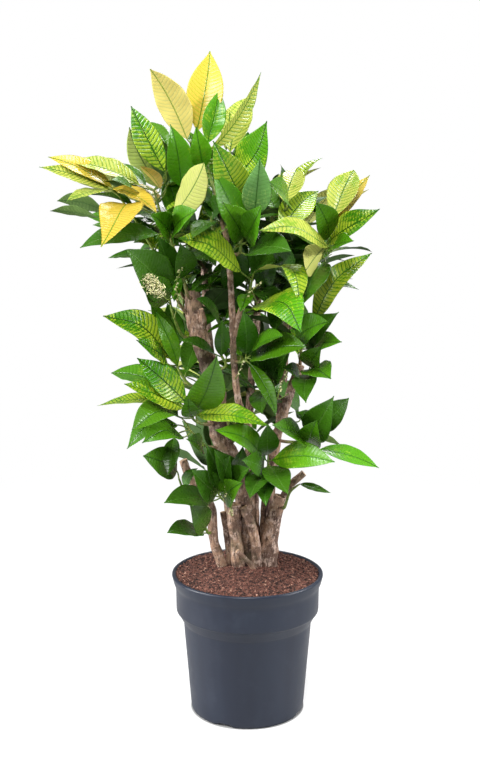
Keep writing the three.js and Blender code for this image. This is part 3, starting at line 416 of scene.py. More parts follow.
INNER_SHOOTS = (
    Shoot("shoot_inner_crown", "cane_centre", ((226, 226, 4), (222, 206, 16), (220, 188, 22)), (
        Leaf((184, 128, 50), (214, 190, 24), 46, 40, GREEN),
        Leaf((248, 132, 54), (224, 186, 26), 46, 40, GREEN),
        Leaf((234, 180, -34), (224, 224, 6), 42, 50, DARK),
        Leaf((194, 188, -6), (220, 222, 8), 44, 60, DARK),
        Leaf((268, 182, 44), (228, 206, 22), 46, 60, DARK),
        Leaf((172, 196, 50), (214, 212, 20), 44, 60, DARK),
    )),
    Shoot("shoot_inner_west", "cane_back_left", ((196, 256, 50), (186, 240, 34), (180, 226, 28)), (
        Leaf((146, 194, 40), (178, 228, 26), 46, 50, DARK),
        Leaf((138, 252, 34), (180, 246, 30), 48, 50, DARK),
        Leaf((208, 190, 10), (184, 228, 24), 44, 40, DARK),
        Leaf((216, 266, -6), (190, 250, 30), 46, 40, DARK),
        Leaf((158, 292, 40), (190, 258, 42), 48, 30, DARK),
        Leaf((168, 172, 70), (180, 226, 32), 42, 20, GREEN),
    )),
    Shoot("shoot_inner_middle", "cane_back_mid", ((256, 302, 54), (249, 284, 34), (246, 268, 26)), (
        Leaf((208, 246, 44), (242, 274, 30), 48, 50, DARK),
        Leaf((222, 322, 60), (246, 292, 42), 44, 40, DARK),
        Leaf((284, 260, -8), (251, 274, 26), 48, 50, DARK),
        Leaf((280, 312, 6), (254, 288, 36), 48, 40, DARK),
        Leaf((236, 224, 34), (245, 268, 28), 46, 30, DARK),
        Leaf((262, 226, 60), (249, 266, 30), 46, 30, DARK),
    )),
    Shoot("shoot_inner_east", "cane_back_right", ((292, 302, 32), (297, 286, 18), (298, 271, 12)), (
        Leaf((270, 246, 10), (293, 280, 16), 48, 40, DARK),
        Leaf((326, 256, 30), (299, 284, 18), 48, 40, DARK),
        Leaf((274, 332, 2), (291, 300, 22), 42, 36, DARK),
        Leaf((308, 226, 40), (298, 272, 18), 48, 30, DARK),
        Leaf((260, 294, 54), (290, 292, 32), 44, 50, DARK),
    )),
    Shoot("shoot_inner_waist", "cane_back_mid", ((258, 404, 54), (265, 390, 34), (268, 376, 28)), (
        Leaf((244, 348, 16), (263, 384, 30), 46, 40, DARK),
        Leaf((292, 346, 20), (271, 382, 28), 46, 40, DARK),
        Leaf((262, 414, 0), (264, 390, 32), 40, 30, DARK),
        Leaf((300, 406, 52), (274, 388, 36), 46, 40, DARK),
        Leaf((272, 336, 50), (268, 376, 30), 46, 30, DARK),
    )),
)

BACK_SHOOTS = (
    BackShoot("shoot_back_crown", "shoot_centre_top", "cane_back_mid", 12, -18),
    BackShoot("shoot_back_centre", "shoot_inner_left", "cane_back_left", -18, 6),
    BackShoot("shoot_back_left_high", "shoot_left_high", "cane_back_left", 14, 24),
    BackShoot("shoot_back_left_far", "shoot_left_far", "cane_back_left", -24, 26),
    BackShoot("shoot_back_left_low", "shoot_left_low", "cane_back_left", -12, 20),
    BackShoot("shoot_back_left_mid", "shoot_left_mid", "cane_back_left", -26, 14),
    BackShoot("shoot_back_waist", "shoot_left_waist", "cane_back_left", -20, 10),
    BackShoot("shoot_back_hip", "shoot_left_hip", "cane_back_left", -38, -2),
    BackShoot("shoot_back_low", "shoot_low_centre", "cane_back_left", 12, -20),
    BackShoot("shoot_back_centre_low", "shoot_centre_low", "cane_back_mid", 24, -26),
    BackShoot("shoot_back_right_low", "shoot_right_low", "cane_back_right", 24, 8),
    BackShoot("shoot_back_right_mid", "shoot_right_mid", "cane_back_right", 26, 12),
    BackShoot("shoot_back_right_far", "shoot_right_far", "cane_back_right", 26, 22),
    BackShoot("shoot_back_right_high", "shoot_right_high", "cane_back_mid", 10, 14),
    BackShoot("shoot_back_front", "shoot_centre_front", "cane_back_mid", 4, 10),
    BackShoot("shoot_back_mid", "shoot_centre_mid", "cane_back_mid", -10, 16),
)


# ---- Places and curves


class FrontView:
    """The front view: turns places on it into points of the model, in mm.

    Attributes:
        middle: The view's middle, in squares across and down.
        focal: Focal length in squares.
        distance: How far before the pot's axis the viewer stands, in mm.
        height: The viewer's height over the floor in mm.
        shift: The viewer's place across in mm.
        tilt: How far down the viewer looks, in radians.
        tall: Squares from the view's top to its foot.
    """

    middle = (240.0, 381.5)
    focal = 1130.5
    distance = 1726.2
    height = 820.3
    shift = -11.9
    tilt = math.radians(9.51)
    tall = 763

    @classmethod
    def point(cls, place: Sequence[float]) -> Vector:
        """Finds a place.

        Args:
            place: Squares across, squares down and depth in mm.

        Returns:
            The point in mm.
        """
        across, down, depth = place[:3]
        right = (across - cls.middle[0]) / cls.focal
        up = (cls.middle[1] - down) / cls.focal
        cos, sin = math.cos(cls.tilt), math.sin(cls.tilt)
        reach = (depth + cls.distance) / (cos + up * sin)
        height = cls.height + reach * (up * cos - sin)
        return Vector((cls.shift + reach * right, depth, height))

    @classmethod
    def to_viewer(cls) -> Vector:
        """Gives the direction from the plant to the viewer."""
        return Vector((0, -math.cos(cls.tilt), math.sin(cls.tilt)))


def square_to(direction: Vector, vector: Vector) -> Vector:
    """Gives the part of a vector that is square to a direction, at unit length."""
    return (vector - direction * vector.dot(direction)).normalized()


def nearest(points: Iterable[Vector], goal: Vector) -> Vector:
    """Gives the point of several that lies nearest to a goal."""
    return min(points, key=lambda point: (point - goal).length)


def smooth_path(points: Sequence[Vector], count: int) -> list[Vector]:
    """Samples a centripetal spline through points.

    Args:
        points: The points it passes through.
        count: How many steps it is sampled in.

    Returns:
        The sampled points, one more than the steps.
    """
    ends = [points[0] * 2 - points[1], *points, points[-1] * 2 - points[-2]]
    path = []
    for step in range(count + 1):
        spot = step / count * (len(points) - 1)
        low = min(int(spot), len(points) - 2)
        path.append(_spline_point(ends[low : low + 4], spot - low))
    return path


def _spline_point(four: Sequence[Vector], share: float) -> Vector:
    """Gives a point between the second and third of four spline points.

    Args:
        four: The points.
        share: How far from the second to the third, 0 to 1.

    Returns:
        The point.
    """
    shortest = 1e-4
    before, start, end, after = four
    gaps = [max((b - a).length ** 0.5, shortest) for a, b in zip(four, four[1:])]
    lead = (start - before) / gaps[0] - (end - before) / (gaps[0] + gaps[1])
    lead = (lead + (end - start) / gaps[1]) * gaps[1]
    tail = (end - start) / gaps[1] - (after - start) / (gaps[1] + gaps[2])
    tail = (tail + (after - end) / gaps[2]) * gaps[1]
    cubic = start * 2 - end * 2 + lead + tail
    square = end * 3 - start * 3 - lead * 2 - tail
    return start + share * (lead + share * (square + share * cubic))


@dataclass
class Blade:
    """A leaf in mm.

    Attributes:
        tip: The blade's tip.
        foot: The blade's foot.
        face: The direction that the upper face looks in.
        width: Greatest width.
        tone: Kind of leaf.
        middle: Point that the midrib bends through, if it has one.
        outline: Powers of the outline at the foot and the tip, if it has its own.
        slenderness: Least length of a blade as a share of its width.
        arch: Rise of an even midrib as a share of its length.
        upright: Upward share of the heading from which a blade counts as upright.
        ribs: Steps along a midrib.
    """

    slenderness: ClassVar[float] = 2.25
    arch: ClassVar[float] = 0.07
    upright: ClassVar[float] = 0.8
    ribs: ClassVar[int] = 8

    tip: Vector
    foot: Vector
    face: Vector
    width: float
    tone: Tone
    middle: Vector | None = None
    outline: Pair | None = None

    @classmethod
    def read(cls, leaf: Leaf) -> Blade:
        """Settles a leaf of the front view in depth, so that it isn't too stubby for its width.

        Args:
            leaf: The leaf as the front view shows it.

        Returns:
            The leaf in mm.
        """
        foot = FrontView.point(leaf.foot)
        tip = FrontView.point(leaf.tip)
        away = 1 if leaf.tip[2] > leaf.foot[2] else -1
        across, down, depth = leaf.tip
        sight = (FrontView.point((across, down, depth + away)) - tip).normalized()
        chord = tip - foot
        lacking = (cls.slenderness * leaf.width) ** 2 - chord.length_squared
        if lacking > 0:
            lean = chord.dot(sight)
            tip = tip + sight * (math.sqrt(lean * lean + lacking) - lean)
        along = (tip - foot).normalized()
        view = square_to(along, FrontView.to_viewer())
        side = along.cross(view)
        aim = Vector((0, 0, 1)) if abs(along.z) < cls.upright else Vector((1, 0, 0))
        if side.dot(aim) < 0:
            side.negate()
        turn = math.radians(leaf.turn)
        face = view * math.cos(turn) + side * math.sin(turn)
        middle = None
        if leaf.middle:
            middle = FrontView.point(leaf.middle) + (tip - FrontView.point(leaf.tip)) / 2
        return cls(tip, foot, face, leaf.width, leaf.tone, middle, leaf.outline)

    def midrib(self, sag: float, sway: float) -> list[Vector]:
        """Samples the midrib.

        Args:
            sag: How far the outer part droops, as a share of its arch.
            sway: How far it bends sideways, as a share of its length.

        Returns:
            The points from foot to tip.
        """
        if self.middle:
            return smooth_path([self.foot, self.middle, self.tip], self.ribs)
        chord = self.tip - self.foot
        length = chord.length
        side = chord.normalized().cross(self.face)
        bend = self.face * (self.arch * length)
        points = []
        for step in range(self.ribs + 1):
            t = step / self.ribs
            bow = 4 * t * (1 - t)
            lift = bend * bow * (1 + sag * (0.5 - t))
            points.append(self.foot + chord * t + lift + side * (sway * length * bow * (0.6 + t)))
        return points


@dataclass
class Twig:
    """A shoot in mm.

    Attributes:
        name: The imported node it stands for.
        cane: The cane it grows from.
        places: Points up the twig.
        blades: Its leaves.
        path: The twig's curve from its cane, set once its foot is known.
        stalk_drop: How far under its blade a stalk leaves the twig, in mm.
        foot_spacing: Least distance between the feet of two twigs, in mm.
        steps: Steps along the twig's curve.
        middle: Foot of the upright that the plant is centred on, in mm.
    """

    stalk_drop: ClassVar[float] = 9
    foot_spacing: ClassVar[float] = 14
    steps: ClassVar[int] = 24
    middle: ClassVar[Vector] = Vector((0, 24, 0))

    name: str
    cane: str
    places: list[Vector]
    blades: list[Blade]
    path: list[Vector] = field(default_factory=list)

    @classmethod
    def read(cls, shoot: Shoot) -> Twig:
        """Settles a shoot of the front view."""
        places = [FrontView.point(place) for place in shoot.twig]
        return cls(shoot.name, shoot.cane, places, [Blade.read(leaf) for leaf in shoot.leaves])

    def behind(self, plan: BackShoot) -> Twig:
        """Gives this shoot's mirror image behind the canes.

        Args:
            plan: How far the image is swung and lowered.

        Returns:
            The new twig.
        """
        turn = Matrix.Rotation(math.radians(plan.swing), 3, "Z") @ Matrix.Diagonal((1, -1, 1))
        low = self.middle - Vector((0, 0, plan.drop))

        def moved(point: Vector) -> Vector:
            """Gives a point's mirror image."""
            return turn @ (point - self.middle) + low

        blades = []
        for blade in self.blades:
            middle = blade.middle and moved(blade.middle)
            ends = {"tip": moved(blade.tip), "foot": moved(blade.foot)}
            blades.append(replace(blade, face=turn @ blade.face, middle=middle, **ends))
        return Twig(plan.name, plan.cane, [moved(place) for place in self.places], blades)

    def root(self, axis: Sequence[Vector], taken: list[Vector]) -> None:
        """Starts the twig on its cane, clear of the twigs that already grow there.

        Args:
            axis: The cane's points.
            taken: Feet of the earlier twigs; this one's is added.
        """
        free = [p for p in axis if all((p - q).length > self.foot_spacing for q in taken)]
        lower = [p for p in free if p.z < self.places[0].z]
        foot = nearest(lower or free, self.places[0])
        taken.append(foot)
        self.path = smooth_path([foot, *self.places], self.steps)

    def stalk_start(self, blade: Blade) -> Vector:
        """Gives the twig's point that a leaf's stalk grows from."""
        return nearest(self.path, blade.foot - Vector((0, 0, self.stalk_drop)))


def cane_axis(cane: Cane, steps: int = 60) -> list[Vector]:
    """Samples the points of a cane that a twig may grow from."""
    limbs = [cane.route, *cane.branches]
    return [p for limb in limbs for p in smooth_path([FrontView.point(s) for s in limb], steps)]


@dataclass
class InnerLeaves:
    """The leaves low on each twig, which fill the crown behind its outer leaves.

    Lengths are in mm and angles in degrees.

    Attributes:
        spacing: Distance up the twig from one leaf to the next.
        place: Where a leaf grows in its own stretch of the twig, 0 to 1.
        starts: How many leaves of the spiral a twig may start with.
        spiral: Degrees round the twig from one leaf to the next.
        length: Shortest and longest blade.
        width: Narrowest and broadest blade, as a share of its length.
        stalk: Shortest and longest stalk.
        rise: Least and most rise of a stalk.
        droop: How many degrees less than its stalk a blade rises.
        lean: How far a blade's upper face may lean off the upright, as a slope.
        tones: Kinds of leaf to choose from.
        lowest: Height under which no tip hangs.
        cover: How far outside it an outer leaf has to reach.
        level: Greatest difference in height from that leaf.
        swing: Greatest difference in bearing from it.
        clear: Least distance between the samples of two blades.
        margin: How far beside an outer leaf or a bare cane a leaf before it stays.
        bare: Canes that stay in sight.
    """

    spacing: float = 9
    place: float = 0.6
    starts: int = 8
    spiral: float = 137.5
    length: Pair = (72, 118)
    width: Pair = (0.34, 0.42)
    stalk: Pair = (9, 18)
    rise: Pair = (12, 58)
    droop: Pair = (8, 34)
    lean: float = 0.5
    tones: tuple[Tone, ...] = (DARK, GREEN, DARK, MOTTLED, GREEN, DARK)
    lowest: float = 440
    cover: float = 12
    level: float = 60
    swing: float = 26
    clear: float = 13
    margin: float = 30
    bare: tuple[str, ...] = ("cane_main", "cane_centre", "cane_right")

    def grow(self, twigs: Sequence[Twig], rng: Random) -> None:
        """Adds the inner leaves to the twigs.

        Args:
            twigs: Every twig, with its outer leaves.
            rng: The source of chance.
        """
        tips = [(self._bearing(b.tip), b.tip) for twig in twigs for b in twig.blades]
        middles = [s for twig in twigs for b in twig.blades for s in self._samples(b)]
        bare = [p for cane in CANES if cane.name in self.bare for p in cane_axis(cane)]
        shown = [s for s in middles + bare if s.y < Twig.middle.y]
        for twig in twigs:
            first = rng.randrange(self.starts)
            reach = sum((b - a).length for a, b in zip(twig.path, twig.path[1:]))
            count = int(reach / self.spacing)
            for step in range(count):
                angle = math.radians(self.spiral * (first + step))
                blade = self._blade(twig, (step + self.place) / count, angle, rng)
                samples = self._samples(blade)
                if not self._covered(blade.tip, tips) or blade.tip.z < self.lowest:
                    continue
                if min((a - b).length for a in samples for b in middles) < self.clear:
                    continue
                if any(self._hides(a, b) for a in samples for b in shown):
                    continue
                middles += samples
                twig.blades.append(blade)

    def _blade(self, twig: Twig, spot: float, angle: float, rng: Random) -> Blade:
        """Makes one leaf at a share of the twig's length, at an angle round the upright.

        Args:
            twig: The twig it grows from.
            spot: How far up the twig, 0 to 1.
            angle: Its bearing in radians.
            rng: The source of chance.

        Returns:
            The leaf.
        """
        at = min(int(spot * (len(twig.path) - 1)), len(twig.path) - 2)
        start = twig.path[at]
        out = Vector((math.cos(angle), math.sin(angle), 0))
        rise = math.radians(rng.uniform(*self.rise))
        heading = out * math.cos(rise) + Vector((0, 0, math.sin(rise)))
        droop = math.radians(rng.uniform(*self.droop))
        outward = out * math.cos(rise - droop) + Vector((0, 0, math.sin(rise - droop)))
        length = rng.uniform(*self.length)
        foot = start + heading * rng.uniform(*self.stalk)
        up = Vector((rng.uniform(-self.lean, self.lean), rng.uniform(-self.lean, self.lean), 1.0))
        tone = self.tones[rng.randrange(len(self.tones))]
        width = length * rng.uniform(*self.width)
        return Blade(foot + outward * length, foot, square_to(outward, up), width, tone)

    def _covered(self, tip: Vector, tips: Sequence[tuple[float, Vector]]) -> bool:
        """Tells whether an outer leaf reaches further out near the same height and bearing.

        Args:
            tip: The leaf's tip.
            tips: Bearing and place of each outer leaf's tip.

        Returns:
            True if one does.
        """
        radius = math.hypot(tip.x, tip.y - Twig.middle.y)
        bearing = self._bearing(tip)
        for other_bearing, other in tips:
            swing = abs((bearing - other_bearing + math.pi) % (2 * math.pi) - math.pi)
            level = abs(other.z - tip.z) < self.level
            further = math.hypot(other.x, other.y - Twig.middle.y) > radius + self.cover
            if level and further and swing < math.radians(self.swing):
                return True
        return False

    def _hides(self, inner: Vector, outer: Vector) -> bool:
        """Tells whether a leaf would stand before an outer leaf of the front view."""
        apart = inner - outer
        ahead = apart.dot(FrontView.to_viewer())
        return ahead > 0 and (apart - FrontView.to_viewer() * ahead).length < self.margin

    @staticmethod
    def _bearing(point: Vector) -> float:
        """Gives the direction of a point from the plant's middle."""
        return math.atan2(point.y - Twig.middle.y, point.x)

    @staticmethod
    def _samples(blade: Blade) -> list[Vector]:
        """Gives three points along a blade."""
        return [blade.foot + (blade.tip - blade.foot) * t for t in (0.35, 0.6, 0.9)]


def all_twigs(rng: Random) -> list[Twig]:
    """Settles every shoot, in front and behind, on its cane.

    Args:
        rng: The source of chance for the inner leaves.

    Returns:
        The twigs with all their leaves.
    """
    fronts = {shoot.name: Twig.read(shoot) for shoot in FRONT_SHOOTS + INNER_SHOOTS}
    twigs = [*fronts.values(), *(fronts[plan.of].behind(plan) for plan in BACK_SHOOTS)]
    axes = {cane.name: cane_axis(cane) for cane in CANES}
    taken: list[Vector] = []
    for twig in twigs:
        twig.root(axes[twig.cane], taken)
    InnerLeaves().grow(twigs, rng)
    return twigs


# ---- Nodes


class Sheet:
    """A node tree that is built one node at a time."""

    def __init__(self, tree: bpy.types.NodeTree) -> None:
        """Starts on the shader or geometry tree to fill."""
        self.tree = tree

    def add(self, kind: str, links: dict[Any, Any] | None = None, **settings: Any) -> Any:
        """Adds a node.

        Args:
            kind: Blender's name for the node.
            links: Value or socket for each input, by its identifier or its number.
            **settings: The node's own settings.

        Returns:
            The node.
        """
        node = self.tree.nodes.new(kind)
        for name, value in settings.items():
            setattr(node, name, value)
        for key, value in (links or {}).items():
            self.join(value, node, key)
        return node

    def join(self, value: Any, node: Any, key: Any) -> None:
        """Gives a node's input a value, or links it to a node or socket.

        Args:
            value: The value, node or socket.
            node: The node.
            key: The input's identifier, name or number.
        """
        if isinstance(key, int):
            socket = node.inputs[key]
        else:
            socket = next(s for s in node.inputs if key in (s.identifier, s.name))
        if isinstance(value, bpy.types.Node):
            value = next(s for s in value.outputs if s.enabled)
        if isinstance(value, bpy.types.NodeSocket):
            self.tree.links.new(value, socket)
        else:
            socket.default_value = value

    def math(self, operation: str, *values: Any, clamp: bool = False) -> Any:
        """Adds a sum of numbers and sockets."""
        links = dict(enumerate(values))
        return self.add("ShaderNodeMath", links, operation=operation, use_clamp=clamp)

    def ramp(self, value: Any, low: float, high: float, to: Pair = (0, 1)) -> Any:
        """Adds a smooth step from low to high."""
        links = {"Value": value, "From Min": low, "From Max": high, "To Min": to[0], "To Max": to[1]}
        return self.add("ShaderNodeMapRange", links, interpolation_type="SMOOTHSTEP")

    def blend(self, share: Any, low: Any, high: Any) -> Any:
        """Adds a mix of two colours."""
        links = {"Factor_Float": share, "A_Color": low, "B_Color": high}
        node = self.add("ShaderNodeMix", links, data_type="RGBA")
        return next(s for s in node.outputs if s.identifier == "Result_Color")


class Finish:
    """A finish: a node material that is made once from the finish's own colours.

    Attributes:
        name: The material's name.
        unit: A millimetre in the unit of the places that the patterns are drawn on.
    """

    name = "finish"
    unit = MM

    def __init__(self) -> None:
        """Makes the material."""
        self.made = bpy.data.materials.new(self.name)
        self.made.use_nodes = True
        self.sheet = Sheet(self.made.node_tree)
        self.shader = self.made.node_tree.nodes["Principled BSDF"]
        self.paint()

    def paint(self) -> None:
        """Adds the finish's nodes."""

    def spot(self) -> Any:
        """Reads the place on the object."""
        return self.sheet.add("ShaderNodeTexCoord").outputs["Object"]

    def read(self, name: str, output: str = "Fac") -> Any:
        """Reads one of the piece's own values."""
        node = self.sheet.add("ShaderNodeAttribute", attribute_name=name, attribute_type="GEOMETRY")
        return node.outputs[output]

    def noise(self, where: Any, size_mm: float, detail: float = 3.0, rough: float = 0.5) -> Any:
        """Adds a noise with features of about a size in mm."""
        scale = 1 / (size_mm * self.unit)
        links = {"Vector": where, "Scale": scale, "Detail": detail, "Roughness": rough}
        return self.sheet.add("ShaderNodeTexNoise", links)

    def dots(self, where: Any, size_mm: float, low: float, high: float) -> Any:
        """Adds dots about a size in mm apart."""
        links = {"Vector": where, "Scale": 1 / (size_mm * self.unit)}
        cells = self.sheet.add("ShaderNodeTexVoronoi", links)
        return self.sheet.ramp(cells.outputs["Distance"], low, high, (1, 0))

    def drawn_out(self, where: Any, upward: float) -> Any:
        """Draws a pattern out up the piece: its heights are taken times a share."""
        return self.sheet.add("ShaderNodeMapping", {"Vector": where, "Scale": (1.0, 1.0, upward)})

    def surface(self, colour: Any, roughness: Any) -> None:
        """Gives the shader its colour and roughness."""
        self.sheet.join(colour, self.shader, "Base Color")
        self.sheet.join(roughness, self.shader, "Roughness")

    def relief(self, height: Any, depth_mm: float, strength: float) -> None:
        """Gives the shader a relief of a depth in mm."""
        links = {"Strength": strength, "Distance": depth_mm * MM, "Height": height}
        self.sheet.join(self.sheet.add("ShaderNodeBump", links), self.shader, "Normal")


class WaxyLeaf(Finish):
    """A croton leaf: waxy and variegated.

    It gives the eye a dark midrib with side veins every few millimetres that sweep towards the
    tip, lighter blocks between them, a gloss on the upper face and a matte lower face.

    Attributes:
        vein_spacing_mm: Distance between side veins along the midrib.
        wander_mm: How far a side vein strays.
        stray_mm: Length over which it strays.
        break_mm: Size of the stretches in which side veins fade.
        midrib_mm: Half the midrib's width, inside and outside its soft edge.
        block_mm: Size of the lighter blocks.
        drift_mm: Size of the stretches with more or fewer blocks.
        gloss: Roughness of the upper face.
        matte: How much rougher the lower face is.
        specular: The wax's reflection.
    """

    name = "waxy_leaf"
    unit = 1.0
    vein_spacing_mm = 6.2
    wander_mm = 3.2
    stray_mm = 11.1
    break_mm = 2.5
    midrib_mm = (0.5, 1.2)
    block_mm = 3.2
    drift_mm = 33.3
    gloss = 0.18
    matte = 0.5
    specular = 0.42

    def paint(self) -> None:
        """Adds veins, blocks, gloss and quilting."""
        sheet = self.sheet
        place = sheet.add("ShaderNodeSeparateXYZ", {0: self.read("leaf_mm", "Vector")})
        across, along, seed = place.outputs
        look = sheet.add("ShaderNodeSeparateXYZ", {0: self.read("leaf_look", "Vector")})
        patchiness, veining, share = look.outputs
        spot = sheet.add("ShaderNodeCombineXYZ", {0: across, 1: along, 2: seed})
        wander = self.noise(spot, self.stray_mm, 2.0)
        lateral = sheet.math("ABSOLUTE", across)
        count = self.vein_count(across, lateral, along, wander)
        gap = sheet.math("ABSOLUTE", sheet.math("SUBTRACT", sheet.math("FRACT", count), 0.5))
        side_vein = self.side_vein(gap, spot)
        midrib = sheet.ramp(lateral, *self.midrib_mm, (1, 0))
        cell = sheet.math("FLOOR", sheet.math("ADD", count, 0.5))
        level = self.level(lateral, cell, seed, spot)
        level = sheet.math("ADD", level, sheet.math("MULTIPLY_ADD", share, -0.2, 0.09))
        lit = sheet.math("SUBTRACT", level, sheet.math("SUBTRACT", 1.02, patchiness))
        between = sheet.ramp(gap, 0.26, 0.42, (1, 0.25))
        patch = sheet.math("MULTIPLY", sheet.ramp(lit, -0.07, 0.07), between)
        light, rib = self.read("leaf_patch", "Color"), self.read("leaf_vein", "Color")
        veins = sheet.math("MULTIPLY", side_vein, veining)
        veins = sheet.math("MAXIMUM", veins, midrib, clamp=True)
        above = sheet.blend(patch, self.read("leaf_ground", "Color"), light)
        above = sheet.blend(veins, above, rib)
        below = self.read("leaf_under", "Color")
        for share, most, shade in ((side_vein, 0.32, rib), (patch, 0.3, light), (midrib, 0.8, rib)):
            below = sheet.blend(sheet.math("MULTIPLY", share, most), below, shade)
        top = sheet.math("GREATER_THAN", self.read("leaf_side"), 0.0)
        gloss = sheet.math("MULTIPLY_ADD", wander, 0.2, self.gloss)
        rough = sheet.math("MULTIPLY_ADD", sheet.math("SUBTRACT", 1.0, top), self.matte, gloss)
        self.surface(sheet.blend(top, below, above), rough)
        self.shader.inputs["Specular IOR Level"].default_value = self.specular
        quilt = sheet.math("MULTIPLY", sheet.ramp(gap, 0.2, 0.5, (1, 0)), veining)
        self.relief(sheet.math("SUBTRACT", quilt, midrib), 0.9, 0.6)

    def vein_count(self, across: Any, lateral: Any, along: Any, wander: Any) -> Any:
        """Counts side veins: they leave the midrib at about 60 degrees and curve to the tip."""
        sheet = self.sheet
        slope = sheet.math("MULTIPLY_ADD", lateral, 0.011, 0.3)
        sweep = sheet.math("SUBTRACT", along, sheet.math("MULTIPLY", lateral, slope))
        shifted = sheet.math("MULTIPLY_ADD", wander, self.wander_mm, sweep)
        half = sheet.math("MULTIPLY", sheet.math("GREATER_THAN", across, 0.0), 0.5)
        return sheet.math("MULTIPLY_ADD", shifted, 1 / self.vein_spacing_mm, half)

    def side_vein(self, gap: Any, spot: Any) -> Any:
        """Gives the strength of the side veins, which fade to the edge and here and there."""
        sheet = self.sheet
        to_edge = sheet.ramp(self.read("leaf_edge"), 0.7, 0.98, (1, 0.2))
        vein = sheet.math("MULTIPLY", sheet.ramp(gap, 0.36, 0.47), to_edge)
        broken = self.noise(spot, self.break_mm, 2.0)
        return sheet.math("MULTIPLY", vein, sheet.ramp(broken, 0.3, 0.55, (0.45, 1)))

    def level(self, lateral: Any, cell: Any, seed: Any, spot: Any) -> Any:
        """Gives how light each block is: cells between two side veins, broken up across them."""
        sheet = self.sheet
        across = sheet.math("MULTIPLY", lateral, 1 / self.block_mm)
        along = sheet.math("MULTIPLY", cell, 1.7)
        brick = sheet.add("ShaderNodeCombineXYZ", {0: across, 1: along, 2: seed})
        drift = sheet.math("MULTIPLY_ADD", self.noise(spot, self.drift_mm, 1.0), 0.5, -0.25)
        return sheet.math("ADD", self.noise(brick, 1.0, 3.0, 0.7), drift)


class CaneBark(Finish):
    """Croton bark: thin dry skin, unfinished.

    It gives the eye a grey-brown with a pink cast, fine darker streaks that run up the stem,
    pale blotches and pores, a little moss and shallow cracks.
    """

    name = "cane_bark"
    streak_mm = 2.94
    mottle_mm = 33.3
    blotch_mm = 13.3
    moss_mm = 71.4
    pore_mm = 3.85

    def paint(self) -> None:
        """Adds skin, blotches, streaks, moss, pores and cracks."""
        sheet = self.sheet
        spot = self.spot()
        streak = self.noise(self.drawn_out(spot, 0.3), self.streak_mm, 5.0, 0.62)
        mottle = sheet.ramp(self.noise(spot, self.mottle_mm, 4.0, 0.6), 0.4, 0.6)
        blotch = sheet.ramp(self.noise(spot, self.blotch_mm, 6.0, 0.75), 0.5, 0.6)
        moss = sheet.ramp(self.noise(spot, self.moss_mm, 5.0, 0.7), 0.52, 0.62)
        pores = sheet.math("MULTIPLY", self.dots(spot, self.pore_mm, 0.1, 0.26), mottle)
        skin = sheet.blend(mottle, linear("60473a"), linear("a8866e"))
        for share, most, code in (
            (blotch, 0.75, "d2b8a8"),
            (sheet.ramp(streak, 0.46, 0.66), 0.92, "3f2c24"),
            (moss, 0.42, "6c6548"),
            (pores, 0.75, "d6bea2"),
        ):
            skin = sheet.blend(sheet.math("MULTIPLY", share, most), skin, linear(code))
        self.surface(skin, sheet.ramp(streak, 0.3, 0.7, (0.6, 0.9)))
        height = sheet.math("ADD", streak, sheet.math("MULTIPLY", pores, 0.25))
        self.relief(height, 1.4, 0.9)


class CutWood(Finish):
    """A pruned end: dry sawn wood, pale with darker grain."""

    name = "cut_wood"
    grain_mm = 2.38

    def paint(self) -> None:
        """Adds the grain."""
        grain = self.noise(self.spot(), self.grain_mm, 4.0)
        wood = self.sheet.blend(self.sheet.ramp(grain, 0.35, 0.7), linear("d3b598"), linear("9c785c"))
        self.surface(wood, 0.85)
        self.relief(grain, 0.6, 0.5)


class GreenStem(Finish):
    """Twigs and stalks: green and smooth when young, browning towards the cane."""

    name = "green_stem"
    fleck_mm = 3.85

    def paint(self) -> None:
        """Adds the green, the browning and the flecks."""
        sheet = self.sheet
        fleck = self.noise(self.spot(), self.fleck_mm, 4.0)
        share = sheet.ramp(fleck, 0.35, 0.65)
        green = sheet.blend(share, linear("4f6e20"), linear("808f3c"))
        brown = sheet.blend(share, linear("66523c"), linear("94795f"))
        aged = sheet.math("ADD", self.read("stem_wood"), sheet.math("MULTIPLY_ADD", fleck, 0.3, -0.15))
        aged = sheet.ramp(aged, 0.3, 0.7)
        self.surface(sheet.blend(aged, green, brown), sheet.ramp(aged, 0, 1, (0.42, 0.8)))
        self.relief(fleck, 0.6, 0.4)


class FlowerBud(Finish):
    """Croton buds: small, waxy, cream with a green cast."""

    name = "flower_bud"
    cast_mm = 4.17

    def paint(self) -> None:
        """Adds the cream and the green cast."""
        cast = self.sheet.ramp(self.noise(self.spot(), self.cast_mm, 2.0), 0.35, 0.7)
        self.surface(self.sheet.blend(cast, linear("f0e4bc"), linear("bcc47c")), 0.5)


class PotPlastic(Finish):
    """Injection-moulded polypropylene, satin.

    It gives the eye a dark slate blue-grey with a fine grain, faint flow bands and a little dust.
    """

    name = "nursery_pot_plastic"
    grain_mm = 1.11
    dust_mm = 45.5
    flow_mm = 38.5

    def paint(self) -> None:
        """Adds grain, bands and dust."""
        sheet = self.sheet
        spot = self.spot()
        dust = self.noise(spot, self.dust_mm, 6.0, 0.65)
        flow = self.noise(self.drawn_out(spot, 0.08), self.flow_mm, 2.0)
        body = sheet.blend(sheet.ramp(flow, 0.35, 0.65), linear("1a2131"), linear("1f2737"))
        body = sheet.blend(sheet.ramp(dust, 0.5, 0.85, (0, 0.35)), body, linear("39414f"))
        self.surface(body, sheet.ramp(dust, 0.3, 0.7, (0.34, 0.46)))
        self.relief(self.noise(spot, self.grain_mm), 0.3, 0.12)


